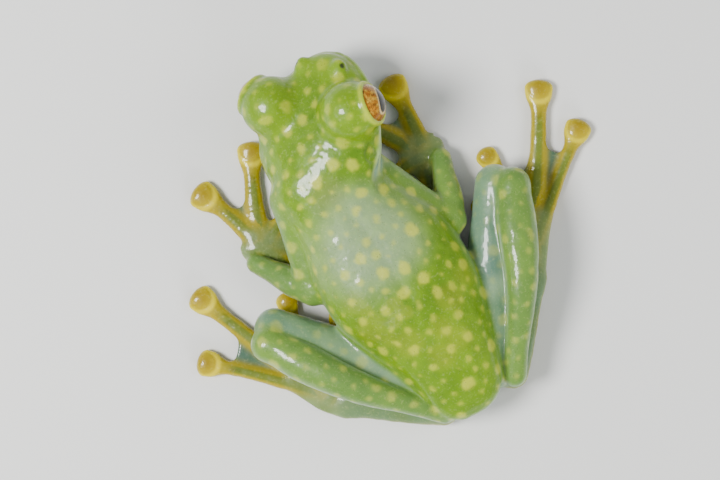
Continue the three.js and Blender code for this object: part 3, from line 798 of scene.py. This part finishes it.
def folds():
    """Small folds and grain, in millimetres along the surface's own direction."""
    facing_up = ramp(0.0, 0.6, normal[:, 2])
    facing_down = ramp(-0.05, -0.6, normal[:, 2])
    push = 0.014 * noise(points, 0.3) + 0.02 * noise(points, 0.8, 7.3) + 0.03 * noise(points, 2.4, 3.1)
    push *= 1 - 0.6 * weight["digit"]

    from_spine = left - torso_middle(ahead)
    aside = np.abs(from_spine)
    spine = near(from_spine, 0, 0.5) * ramp(6, 8.5, ahead) * ramp(18.5, 16, ahead)
    tail_bone = near(from_spine, 0, 0.75) * ramp(-1.5, 0.5, ahead) * ramp(6.8, 5.2, ahead)
    hip_line = 0.9 + 0.2 * np.clip(ahead, 0, 8)
    hip_bones = near(aside, hip_line, 0.6) * ramp(-1, 1, ahead) * ramp(7.6, 6.4, ahead)
    hump = near(ahead, 6.9, 1.1) * near(from_spine, 0, 2.3)
    shoulder_blades = near(aside, 2.2, 0.9) * near(ahead, 16.6, 1.4)
    push += weight["torso"] * facing_up * (
        -0.1 * spine + 0.1 * tail_bone + 0.1 * hip_bones + 0.16 * hump + 0.12 * shoulder_blades)
    push += 0.035 * weight["torso"] * (1 - facing_up) * (1 - facing_down) * wrinkle
    muscle = noise(points * np.array([1.0, 0.6, 1.0]), 1.3, 15.5)
    push += 0.035 * (weight["thigh"] + weight["shank"]) * muscle

    for sign in (1, -1):
        line = np.array([beside(sign, place) for place in EAR_FOLD])
        run = Path(line).point(np.linspace(0, 1, 40))
        close = np.where((np.abs(own - line.mean(0)) < 4).all(1))[0]
        off = np.sqrt(((own[close][:, None, :] - run[None]) ** 2).sum(-1)).min(1)
        push[close] += 0.16 * near(off, 0, 0.4)
    push -= 0.08 * weight["head"] * near(head_left, 0, 1.1) * near(head_ahead, 0.6, 2.0) * facing_up

    creases = 0.5 + 0.5 * np.cos(digit_left * 2 * np.pi / 0.34)
    at_knuckle = ramp(1.2, 0.4, np.abs((digit_left + 0.4) % 1.9 - 0.95))
    push -= 0.02 * weight["digit"] * (1 - facing_down) * (pad_off > 1.25) * creases * at_knuckle
    pad = weight["digit"] * ramp(1.35, 1.1, pad_off) * facing_up
    return push - 0.035 * pad * near(pad_off, 0.8, 0.09) + 0.04 * pad * near(pad_off, 0.0, 0.5)


points = points + normal * folds()[:, None]

# Colours


def linear(*colour):
    c = np.array(colour, float) / 255
    return tuple(np.where(c <= 0.04045, c / 12.92, ((c + 0.055) / 1.055) ** 2.4))


def layered(base, *layers):
    """A colour, or one for each point, under layers, each a colour and how much it covers."""
    base = np.asarray(base, float)
    for colour, cover in layers:
        base = base + (np.asarray(colour) - base) * np.clip(np.atleast_1d(cover), 0, 1)[:, None]
    return base


LIME = linear(110, 146, 2)
LIME_DEEP = linear(72, 110, 4)
SPOT = linear(206, 206, 56)
SNOUT = linear(126, 158, 4)
THROAT = linear(112, 148, 134)
LIP = linear(184, 204, 130)
MOUTH_LINE = linear(70, 92, 92)
LID_EDGE = linear(180, 194, 40)
# Painted shade for the nostril pits
NOSTRIL_PAINTED_SHADE = linear(44, 52, 26)
GLASS = linear(100, 132, 98)
GLASS_BLUE = linear(78, 116, 106)
GLASS_PALE = linear(172, 196, 154)
OLIVE = linear(116, 122, 12)
OLIVE_DEEP = linear(64, 74, 12)
SHAFT = linear(96, 114, 42)
YELLOW = linear(170, 150, 0)
YELLOW_BRIGHT = linear(218, 200, 20)
YELLOW_DEEP = linear(136, 112, 0)
WEB = linear(76, 108, 80)
WEB_DARK = linear(44, 76, 70)
GUT = linear(226, 234, 236)
GUT_BLUE = linear(150, 190, 214)
GUT_DARK = linear(96, 104, 108)
GUT_SHADE = linear(120, 136, 156)
EGG = linear(200, 186, 30)
# Painted highlight on the eggs
EGG_PAINTED_HIGHLIGHT = linear(226, 216, 110)
EGG_DEEP = linear(150, 130, 20)
GALL = linear(128, 186, 52)
HEART = linear(150, 84, 92)
VEIN = linear(146, 44, 34)
FLANK = linear(150, 176, 140)
INNARDS = linear(58, 86, 74)
GRAIN_DOT = linear(52, 66, 24)
PAINTED_GLINT_COLOUR = linear(226, 228, 150)
# Painted glints on the skin
CLOUD = (0.72, 0.78, 0.66)
IRIS = linear(196, 134, 18)
IRIS_DARK = linear(126, 66, 12)
IRIS_PALE = linear(222, 184, 62)
IRIS_VEIN = linear(46, 28, 12)
IRIS_RING = linear(70, 48, 28)
IRIS_WHITE = linear(230, 226, 178)
EYE_EDGE = linear(222, 208, 120)
PUPIL_RIM = linear(236, 214, 150)
PUPIL = (0.004, 0.004, 0.005)
FLECK = (0.35, 0.28, 0.2)
FLOOR = linear(226, 226, 222)

# Outlines and lines on the belly, as left and ahead
GUT_EDGE = [
    (-2.7, 13.7), (-2.7, 12.3), (-2.5, 11.2), (-2.0, 10.1), (-1.2, 9.5), (0.2, 9.2), (1.1, 8.7), (2.3, 8.8),
    (3.8, 9.0), (5.1, 9.8), (6.0, 11.0), (6.3, 12.5), (5.7, 14.5), (4.5, 16.1), (3.0, 17.1), (1.5, 17.7),
    (-0.4, 17.3), (-1.6, 15.8), (-2.4, 14.6)]
CHEST_EDGE = [
    (-2.6, 14.0), (-1.6, 17.5), (0.6, 19.4), (2.2, 19.4), (4.4, 17.6), (5.8, 15.0), (4.0, 13.0), (0.0, 13.0)]
LOWER_GUT = (
    [(-3.2, 10.5), (-2.2, 10.2), (-1.2, 9.4), (-1.7, 8.6), (-2.9, 8.5), (-3.7, 9.4), (-3.8, 10.1)],
    [(-1.0, 9.6), (0.7, 9.0), (1.6, 7.7), (2.3, 6.1), (2.2, 4.8), (1.7, 4.2), (1.2, 4.8), (0.7, 5.8),
     (-0.1, 6.3), (-0.7, 7.2), (-1.5, 7.7), (-1.9, 8.4)])
GALL_EDGE = [(-1.5, 15.1), (-1.0, 14.3), (-1.0, 13.4), (-2.0, 13.3), (-2.5, 14.0)]
# Each egg's place, radius and softness, and each blue patch's place and radius
EGGS = [
    (4.7, 7.5, 1.15, 0.5), (3.1, 5.2, 1.1, 0.5), (-1.1, 6.4, 1.0, 0.4), (0.5, 4.8, 0.9, 0.5),
    (0.0, 3.7, 0.95, 0.5), (1.5, 3.2, 1.0, 0.5), (4.9, 9.6, 0.8, 0.5), (-2.9, 7.2, 0.8, 0.5),
    (4.1, 6.2, 0.7, 0.4), (2.1, 7.2, 0.52, 0.12), (2.6, 8.0, 0.68, 0.1), (3.1, 7.1, 0.55, 0.1),
    (4.5, 8.8, 0.5, 0.12)]
BLUE_PATCHES = [
    (1.2, 13.6, 1.2), (4.3, 13.2, 1.5), (5.2, 12.1, 1.0), (-1.7, 11.9, 1.6), (1.4, 10.0, 1.2),
    (3.6, 9.9, 0.9)]
# Each fold's line over the gut, its width and its strength
GUT_FOLDS = [
    ([(-0.1, 15.3), (-0.1, 14.4), (0.0, 13.2), (0.3, 12.1), (0.7, 11.1)], 0.28, 0.75),
    ([(1.1, 12.1), (0.4, 12.7), (0.0, 13.0)], 0.14, 0.6),
    ([(1.2, 12.1), (0.8, 11.6), (1.7, 11.2), (2.4, 10.7), (2.8, 9.9), (3.9, 10.0)], 0.15, 0.65),
    ([(1.3, 12.2), (2.0, 12.6), (3.1, 12.4), (3.9, 11.6), (3.9, 10.8)], 0.13, 0.45)]
GUT_DUCT = [(0.4, 15.3), (0.4, 14.3), (0.5, 13.3)]
VEIN_LINE = [(-1.0, 13.2), (0.0, 11.1), (0.6, 9.1), (1.0, 6.3), (1.15, 4.1), (1.15, 2.1)]
HOLLOW = (2.4, 11.6)
HOLLOW_LIE = (0.84, 0.54)

upper = ramp(-0.15, 0.55, normal[:, 2])
under = ramp(0.1, -0.5, normal[:, 2])
edge = near(normal[:, 2], 0.0, 0.35)
broad = noise(points, 3.0, 2.2)
fine = noise(points, 0.55, 9.1)
finer = noise(points, 0.22, 4.7)
rows = noise(points * np.array([1.0, 1.0, 0.4]), 1.3, 6.0)
trunk = np.where(weight["torso"] + weight["head"] > 0.01)[0]
trunk_flat = np.c_[left, ahead][trunk]


def disc(centre, radius, soft=0.25):
    away = np.hypot(left - centre[0], ahead - centre[1])
    return ramp(radius + soft, radius - soft, away)


def run_off(run):
    """Each trunk point's distance from a run of straight lines."""
    close = np.full(len(trunk), FAR)
    for a, b in zip(run, run[1:]):
        t = np.clip(((trunk_flat - a) @ (b - a)) / ((b - a) @ (b - a)), 0, 1)
        close = np.minimum(close, np.hypot(*(trunk_flat - a - t[:, None] * (b - a)).T))
    return close


def over_skin(values):
    """Values of the trunk's points, for all the skin's points."""
    found = np.full(len(points), FAR)
    found[trunk] = values
    return found


def line_off(stops):
    """The distance from a smooth line through stops."""
    run = Path([(x, y, 0) for x, y in stops]).point(np.linspace(0, 1, 25))[:, :2]
    return over_skin(run_off(run))


def patch_off(stops):
    """The distance from a closed, rounded outline, negative inside it."""
    run = np.array(stops, float)
    for _ in range(2):
        after = np.roll(run, -1, axis=0)
        run = np.stack([0.75 * run + 0.25 * after, 0.25 * run + 0.75 * after], axis=1).reshape(-1, 2)
    run = np.vstack([run, run[:1]])
    inside = np.zeros(len(trunk), bool)
    x, y = trunk_flat.T
    for a, b in zip(run, run[1:]):
        if a[1] != b[1]:
            crossing = (b[0] - a[0]) * (y - a[1]) / (b[1] - a[1]) + a[0]
            inside ^= ((a[1] > y) != (b[1] > y)) & (x < crossing)
    close = run_off(run)
    return over_skin(np.where(inside, -close, close))


def egg_layers(x, y, radius, soft):
    rim = near(np.hypot(left - x, ahead - y), radius, 0.14) * 0.4 * (soft < 0.2)
    # A painted highlight on each egg: a pale disc set off its middle
    painted_glint = disc((x - 0.1 * radius, y + 0.15 * radius), 0.45 * radius, 0.35) * 0.45
    return (EGG, disc((x, y), radius, soft) * (1.0 - 0.35 * soft)), (EGG_PAINTED_HIGHLIGHT, painted_glint), (EGG_DEEP, rim)


def lower_gut_layers(stops):
    off = patch_off(stops) + 0.05 * fine
    inner = ramp(0.06, -0.08, off)
    return (
        (GUT_DARK, ramp(0.22, 0.05, off) * 0.8), (GUT, inner),
        (GUT_BLUE, inner * ramp(-0.2, 0.6, mottle) * 0.45))


def fold_layer(stops, width, strength):
    return GUT_SHADE, ramp(width, 0.3 * width, line_off(stops)) * strength * ramp(0.1, 0.0, gut_off)


def hollow_off():
    x, y = left - HOLLOW[0], ahead - HOLLOW[1]
    along, across_it = HOLLOW_LIE
    return np.hypot(x * along - y * across_it, 2.1 * (x * across_it + y * along))


# The organs that show through the belly
mottle = noise(points, 0.9, 1.4)
gut_off = patch_off(GUT_EDGE) + 0.06 * fine
chest_off = patch_off(CHEST_EDGE) + 0.2 * broad
vein_share = line_off(VEIN_LINE) / (0.05 + 0.011 * np.clip(ahead, 0, 13))
small_veins = ramp(0.93, 0.99, 1 - np.abs(noise(points, 1.9, 12.0))) * 0.25
hollow = hollow_off()
blue = np.max([disc((x, y), r * 0.7, r * 0.7) for x, y, r in BLUE_PATCHES], axis=0)
belly = layered(
    INNARDS,
    (FLANK, 0.25 + 0.3 * broad),
    *itertools.chain(*(egg_layers(*egg) for egg in EGGS)),
    (GUT, ramp(0.7, -0.4, chest_off) * 0.85),
    *itertools.chain(*(lower_gut_layers(stops) for stops in LOWER_GUT)),
    (GUT_DARK, ramp(0.24, 0.05, gut_off) * 0.8),
    (GUT, ramp(0.06, -0.08, gut_off)),
    (GUT_BLUE, ramp(0.0, -0.3, gut_off) * blue * ramp(-0.6, 0.5, mottle) * 0.95),
    *(fold_layer(*fold) for fold in GUT_FOLDS),
    (GUT, ramp(0.3, 0.1, line_off(GUT_DUCT)) * 0.8),
    (GUT_DARK, ramp(1.25, 0.95, hollow) * 0.85),
    (HEART, ramp(0.8, 0.2, hollow) * 0.35),
    (GALL, ramp(0.08, -0.12, patch_off(GALL_EDGE))),
    (THROAT, ramp(18.0, 19.6, ahead)),
    (HEART, disc((2.4, 19.0), 1.0, 0.9) * 0.5 * (0.6 + 0.6 * mottle)),
    (VEIN, ramp(1.3, 0.7, vein_share) * 0.95),
    (VEIN, small_veins * ramp(-0.2, 0.2, gut_off) * ramp(3, 8, ahead)),
)

SPOTTED = {"torso": 1, "head": 1, "shank": 0.9, "forearm": 0.9, "upper_arm": 0.7, "thigh": 0.5}
SPOT_TRIES = 9000
SPOT_GAP = 0.5


def pale_spots():
    """Soft spots of many sizes, strewn over what faces up, with bare skin between them."""
    draws = np.random.default_rng(23)
    order = draws.permutation(len(points))
    zone = (upper > 0.25) & (sum(share * weight[group] for group, share in SPOTTED.items()) > 0.5)
    placed = np.zeros((0, 4))
    for i in order[zone[order]][:SPOT_TRIES]:
        size = 0.14 + 0.34 * draws.random() ** 1.6
        if np.all(np.linalg.norm(placed[:, :3] - points[i], axis=1) > SPOT_GAP + placed[:, 3] + size):
            placed = np.vstack([placed, [*points[i], size]])
    spots = np.zeros(len(points))
    for x, y, z, r in placed:
        box = np.where((np.abs(points - (x, y, z)) < r + 0.4).all(1))[0]
        off = np.linalg.norm(points[box] - (x, y, z), axis=1) + 0.15 * fine[box] + 0.08 * finer[box]
        spots[box] = np.maximum(spots[box], ramp(r + 0.17, r - 0.2, off) * (0.5 + r))
    return spots


# The back: lime green with soft pale spots, and the organs dimly under it
spots = pale_spots()
eggs = np.max([disc((x, y), radius, soft) for x, y, radius, soft in EGGS], axis=0)
back = layered(
    LIME,
    (LIME_DEEP, 0.35 + 0.35 * broad + 0.25 * fine),
    (GUT, ramp(1.0, -2.4, gut_off + 0.6 * broad) * 0.17),
    (EGG, eggs * 0.12),
    (HEART, disc((2.4, 17.4), 1.2, 0.8) * 0.1),
    (SPOT, spots * 0.6),
)
limb_top = layered(back, (GLASS, 0.3))
jaw = 1 - ramp(0.1, 0.5, head_high)
at_knuckle = near(digit_left, 2.0, 0.9) * ramp(0.15, 0.6, finer + 0.4 * near(digit_left, 1.9, 0.6))
pad_tint = layered(
    YELLOW,
    (YELLOW_DEEP, 0.65 * ramp(0.75, 0.2, pad_off) + 0.12 * fine),
    (YELLOW_BRIGHT, 0.8 * ramp(0.72, 0.95, pad_off)),
)
TINTS = {
    "torso": layered(
        back,
        (FLANK, (1 - upper) * 0.75),
        (GLASS_PALE, edge * 0.25 * (0.6 + 0.4 * wrinkle)),
        (belly, under),
    ),
    "head": layered(
        back,
        (SNOUT, 0.5 * ramp(1.5, 4.5, head_ahead) + 0.35 * lid),
        (THROAT, jaw),
        (LIP, near(head_high, -0.32, 0.28) * jaw * 0.8),
        (LIP, near(head_high, 0.34, 0.16) * 0.5 * (dome_off > 0.3)),
        (MOUTH_LINE, near(head_high, -0.02, 0.1) * 0.6 * ramp(-3.2, -2.6, head_ahead)),
        (GLASS_PALE, ramp(0.25, 0.75, rows) * 0.3 * jaw),
        (LID_EDGE, lid_edge * 0.75),
        # Painted shade darkens the nostril pits
        (NOSTRIL_PAINTED_SHADE, pit_shade * 0.9),
    ),
    "upper_arm": layered(GLASS, (back, 0.75 * upper), (GLASS_PALE, 0.3 * edge)),
    "forearm": layered(GLASS, (limb_top, ramp(0.25, 0.85, upper)), (YELLOW, 0.3 * edge)),
    "palm": layered(SHAFT, (GLASS_PALE, 0.2 + 0.2 * rows), (YELLOW, 0.75 * ramp(0.25, 0.9, edge))),
    "digit": layered(
        SHAFT,
        (OLIVE, 0.45 + 0.25 * fine),
        (OLIVE_DEEP, 0.7 * at_knuckle),
        (YELLOW, 0.85 * ramp(0.3, 0.75, np.abs(across))),
        (YELLOW, ramp(2.6, 1.1, pad_off) * 0.8),
        (pad_tint, ramp(1.3, 1.05, pad_off)),
    ),
    "web": layered(WEB, (WEB_DARK, 0.35 + 0.3 * broad), (OLIVE, 0.5 * edge)),
    "thigh": layered(
        GLASS_BLUE,
        (GLASS_PALE, 0.25 + 0.25 * rows + 0.35 * edge),
        (LIME, 0.35 * upper * (0.6 + 0.4 * broad)),
        (SPOT, 0.25 * spots),
    ),
    "shank": layered(GLASS, (limb_top, ramp(0.2, 0.8, upper)), (GLASS_PALE, 0.45 * edge)),
    "ankle": layered(SHAFT, (GLASS, 0.5 + 0.3 * rows), (YELLOW_BRIGHT, 0.5 * edge)),
}
tint = sum(colours * weight[group][:, None] for group, colours in TINTS.items())
tint = np.clip(tint / np.maximum(sum(weight.values()), 1e-6)[:, None], 0, 1)
grained = sum(weight[group] for group in ("torso", "head", "shank", "forearm", "upper_arm"))
grained = np.clip(grained, 0, 1) * ramp(0.1, 0.7, upper)

points[:, 2] = np.maximum(points[:, 2], 0)

# Materials


class Surface:
    """A material with one shader, and short ways to make the nodes that feed it."""

    def __init__(self, name):
        self.material = bpy.data.materials.new(name)
        self.material.use_nodes = True
        self.tree = self.material.node_tree
        self.tree.nodes.clear()
        self.shader = self.node("BsdfPrincipled")
        self.node("OutputMaterial", {"Surface": self.shader.outputs["BSDF"]})

    def feed(self, node, sockets):
        """Sets a node's sockets to values, or links them to other nodes' outputs."""
        for key, value in sockets.items():
            if isinstance(value, bpy.types.NodeSocket):
                self.tree.links.new(value, node.inputs[key])
            else:
                node.inputs[key].default_value = value

    def node(self, kind, sockets=None, **settings):
        made = self.tree.nodes.new("ShaderNode" + kind)
        for key, value in settings.items():
            setattr(made, key, value)
        self.feed(made, sockets or {})
        return made

    def attribute(self, name, output):
        return self.node("Attribute", attribute_name=name).outputs[output]

    def noise(self, place, scale, detail, rough=0.55):
        sockets = {"Vector": place, "Scale": scale, "Detail": detail, "Roughness": rough}
        return self.node("TexNoise", sockets).outputs["Fac"]

    def ranged(self, value, low, high, out_low, out_high):
        sockets = {"Value": value, "From Min": low, "From Max": high, "To Min": out_low, "To Max": out_high}
        return self.node("MapRange", sockets).outputs["Result"]

    def mixed(self, kind, factor, base, colour):
        sockets = {0: factor, 6: base, 7: (*colour, 1)}
        return self.node("Mix", sockets, data_type="RGBA", blend_type=kind).outputs[2]

    def times(self, a, b):
        return self.node("Math", {0: a, 1: b}, operation="MULTIPLY").outputs[0]


def skin_material():
    """Wet, grained skin: its colour from the mesh, with fine clouds, dark grains and pale painted glints."""
    skin = Surface("frog_skin")
    place = skin.node("TexCoord").outputs["Object"]
    clouds = skin.ranged(skin.noise(place, 1400, 4), 0.35, 0.7, 0.0, 1.0)
    colour = skin.mixed("MULTIPLY", skin.times(clouds, 0.22), skin.attribute("tint", "Color"), CLOUD)
    grains = skin.node("TexVoronoi", {"Vector": place, "Scale": 6500}).outputs["Distance"]
    dots = skin.ranged(grains, 0.16, 0.3, 1.0, 0.0)
    sparse = skin.ranged(skin.noise(place, 2600, 2), 0.5, 0.62, 0.0, 1.0)
    dark = skin.times(skin.times(skin.times(dots, sparse), skin.attribute("grain", "Fac")), 0.5)
    colour = skin.mixed("MIX", dark, colour, GRAIN_DOT)
    # Painted glints: pale specks mixed into the skin's colour
    painted_glint = skin.ranged(skin.noise(place, 5200, 3), 0.55, 0.8, 0.0, 0.3)
    colour = skin.mixed("MIX", skin.times(painted_glint, 0.6), colour, PAINTED_GLINT_COLOUR)
    pebbles = skin.node("TexVoronoi", {"Vector": place, "Scale": 4200}, feature="SMOOTH_F1")
    relief = skin.node("Bump", {"Strength": 0.6, "Distance": 0.00003, "Height": pebbles.outputs["Distance"]})
    relief = skin.node("Bump", {
        "Strength": 0.6, "Distance": 0.00002, "Height": skin.noise(place, 7000, 4, 0.6),
        "Normal": relief.outputs["Normal"],
    })
    skin.feed(skin.shader, {
        "Base Color": colour,
        "Roughness": skin.ranged(skin.noise(place, 1800, 4), 0.3, 0.75, 0.3, 0.5),
        "Normal": relief.outputs["Normal"],
        "IOR": 1.4,
        "Subsurface Weight": 0.35,
        "Subsurface Radius": (0.9, 1.0, 0.4),
        "Subsurface Scale": 0.0007,
        "Specular IOR Level": 0.3,
        "Coat Weight": 0.5,
        "Coat Roughness": 0.09,
    })
    return skin.material


def eye_material():
    """A clear wet coat over the iris, which is darkened by fine flecks."""
    eye = Surface("frog_eye")
    place = eye.node("TexCoord").outputs["Object"]
    flecks = eye.ranged(eye.noise(place, 14000, 4, 0.5), 0.4, 0.65, 0.0, 0.55)
    eye.feed(eye.shader, {
        "Base Color": eye.mixed("MULTIPLY", flecks, eye.attribute("tint", "Color"), FLECK),
        "Roughness": 0.35,
        "Specular IOR Level": 0.1,
        "Coat IOR": 1.38,
        "Coat Weight": 1.0,
        "Coat Roughness": 0.02,
    })
    return eye.material


# The frog's three pieces


def linked(name, data):
    made = bpy.data.objects.new(name, data)
    bpy.context.scene.collection.objects.link(made)
    return made


def new_piece(name, points, faces, material):
    mesh = bpy.data.meshes.new(name)
    mesh.from_pydata((points + SHIFT) / 1000, [], faces)
    mesh.validate()
    mesh.polygons.foreach_set("use_smooth", np.ones(len(mesh.polygons), bool))
    mesh.materials.append(material)
    made = linked(name, mesh)
    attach(made, "root")
    return made


def add_tint(piece, colours):
    attribute = piece.data.attributes.new("tint", "FLOAT_COLOR", "POINT")
    attribute.data.foreach_set("color", np.c_[colours, np.ones(len(colours))].astype(np.float32).ravel())


skin = new_piece("skin", points, quads.tolist(), skin_material())
add_tint(skin, tint)
grain = skin.data.attributes.new("grain", "FLOAT", "POINT")
grain.data.foreach_set("value", grained.astype(np.float32))
flesh = [n for n in frame["nodes"] if not n.startswith("eye_")]
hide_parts(*flesh)

EYE_RINGS, EYE_SIDES = 120, 160
CORNEA_BULGE, CORNEA_REACH = 0.045, 0.7
PUPIL_HALF_LENGTH, PUPIL_HALF_HEIGHT = 0.53, 0.27


def globe(middle, look, radius):
    """A ball with its pole at the pupil and a slightly bulging cornea, with each point's direction."""
    side = np.cross(UP, look)
    side /= np.linalg.norm(side)
    up = np.cross(look, side)
    turns = 2 * np.pi * np.arange(EYE_SIDES) / EYE_SIDES
    pole = np.zeros(1)
    rings = [(math.pi * i / EYE_RINGS, turns) for i in range(1, EYE_RINGS)]
    local = np.vstack([
        np.c_[np.cos(k) * math.sin(a), np.full(len(k), math.cos(a)), np.sin(k) * math.sin(a)]
        for a, k in [(0.0, pole), *rings, (math.pi, pole)]
    ])
    from_axis = np.arccos(np.clip(local[:, 1], -1, 1))
    bulge = 1 + CORNEA_BULGE * np.exp(-((from_axis / CORNEA_REACH) ** 4))
    direction = local[:, :1] * side + local[:, 1:2] * look + local[:, 2:] * up
    faces = []
    for k in range(EYE_SIDES):
        n = (k + 1) % EYE_SIDES
        faces.append((0, 1 + k, 1 + n))
        for i in range(EYE_RINGS - 2):
            a, b = 1 + i * EYE_SIDES, 1 + (i + 1) * EYE_SIDES
            faces.append((a + k, b + k, b + n, a + n))
        a = 1 + (EYE_RINGS - 2) * EYE_SIDES
        faces.append((a + k, len(local) - 1, a + n))
    return middle + radius * bulge[:, None] * direction, faces, local


def eye_tint(local):
    """Gold iris with a level pupil, a pale rim round it, and the whitish lower part."""
    a, b, c = local.T
    corner = np.clip(np.abs(a) / PUPIL_HALF_LENGTH - 0.7, 0, 1)
    pupil_off = np.sqrt((a / PUPIL_HALF_LENGTH) ** 2 + (c / PUPIL_HALF_HEIGHT) ** 2) + 0.22 * corner
    from_axis = np.arccos(np.clip(b, -1, 1))
    spoke = np.arctan2(c, a)
    streak = noise(np.c_[np.cos(spoke) * 4, np.sin(spoke) * 4, from_axis * 1.5], 0.3, 3.3)
    cloud = noise(local * EYE_RADIUS, 0.22, 6.1)
    veins = 1 - np.abs(noise(local * EYE_RADIUS, 0.13, 2.4))
    return layered(
        IRIS,
        (IRIS_DARK, 0.45 + 0.5 * streak * ramp(0.3, 0.8, from_axis)),
        (IRIS_PALE, ramp(0.0, 0.7, cloud) * 0.6),
        (IRIS_VEIN, ramp(0.84, 0.97, veins) * 0.75),
        (IRIS_RING, near(from_axis, 0.98, 0.05) * 0.6),
        (IRIS_WHITE, ramp(-0.4, -0.72, c + 0.1 * cloud) * 0.9),
        (EYE_EDGE, ramp(1.0, 1.15, from_axis) * 0.85),
        (PUPIL_RIM, near(pupil_off, 1.1, 0.09) * 0.9),
        (PUPIL, ramp(1.05, 0.96, pupil_off)),
    )


iris = eye_material()
for name, sign in (("left", 1), ("right", -1)):
    look = eye_look(sign)
    ball_points, ball_faces, local = globe(eye_middle(sign) + look * EYE_OUT_BY, look, EYE_RADIUS)
    eye = new_piece("eye_ball_" + name, from_head(ball_points), ball_faces, iris)
    add_tint(eye, eye_tint(local))
    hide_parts("eye_" + name)

# Floor, lights and world, in metres and watts

FLOOR_HALF = 3.0
# Each light's place, what it points at, its width and its power
LIGHTS = {
    "key": ((0.13, -0.06, 0.2), (0, 0, 0), 0.09, 0.95),
    "fill": ((-0.2, 0.1, 0.16), (0, 0, 0), 0.2, 0.35),
    "rim": ((0.02, 0.24, 0.09), (0, 0, 0.005), 0.12, 0.4),
}


def flat_floor():
    mesh = bpy.data.meshes.new("floor")
    corners = [(x * FLOOR_HALF, y * FLOOR_HALF, 0) for x, y in ((-1, -1), (1, -1), (1, 1), (-1, 1))]
    mesh.from_pydata(corners, [], [(0, 1, 2, 3)])
    plain = Surface("floor")
    plain.feed(plain.shader, {"Base Color": (*FLOOR, 1), "Roughness": 0.6})
    mesh.materials.append(plain.material)
    return linked("floor", mesh)


def area_light(name, place, target, size, power):
    """A round soft light. Only the key light is mirrored in the wet skin."""
    data = bpy.data.lights.new(name, "AREA")
    data.shape = "DISK"
    data.size = size
    data.energy = power
    made = linked(name, data)
    made.location = place
    made.rotation_mode = "QUATERNION"
    made.rotation_quaternion = (Vector(target) - Vector(place)).to_track_quat("-Z", "Y")
    made.visible_glossy = name == "key"


flat_floor()
for name, values in LIGHTS.items():
    area_light(name, *values)
world = bpy.data.worlds.new("studio")
bpy.context.scene.world = world
world.use_nodes = True
sky = world.node_tree.nodes["Background"]
sky.inputs["Color"].default_value = (0.9, 0.93, 1.0, 1)
sky.inputs["Strength"].default_value = 0.42

# The camera looks straight down. The body's line has the photo's direction, scale and place in the frame.

FRAME_PIXELS = 720
PIXELS_PER_MM = 13.5
ASIDE_PIXELS = 30
BODY_TURN = math.radians(32)
CAMERA_HEIGHT = 190.0
SENSOR_WIDTH = 36.0


def middle_along(axis):
    along = points @ axis
    return (along.max() + along.min()) / 2


right = np.array([-math.cos(BODY_TURN), math.sin(BODY_TURN), 0.0])
upward = np.array([-math.sin(BODY_TURN), -math.cos(BODY_TURN), 0.0])
focus = right * (middle_along(right) - ASIDE_PIXELS / PIXELS_PER_MM) + upward * middle_along(upward)
lens = bpy.data.cameras.new("camera")
lens.sensor_fit = "HORIZONTAL"
lens.sensor_width = SENSOR_WIDTH
lens.lens = SENSOR_WIDTH * CAMERA_HEIGHT / (FRAME_PIXELS / PIXELS_PER_MM)
lens.clip_start = 0.005
lens.clip_end = 5
camera = linked("camera", lens)
turn = Matrix((right, upward, UP)).transposed()
above_focus = Vector((focus + SHIFT + UP * CAMERA_HEIGHT) / 1000)
camera.matrix_world = Matrix.Translation(above_focus) @ turn.to_4x4()
bpy.context.scene.camera = camera
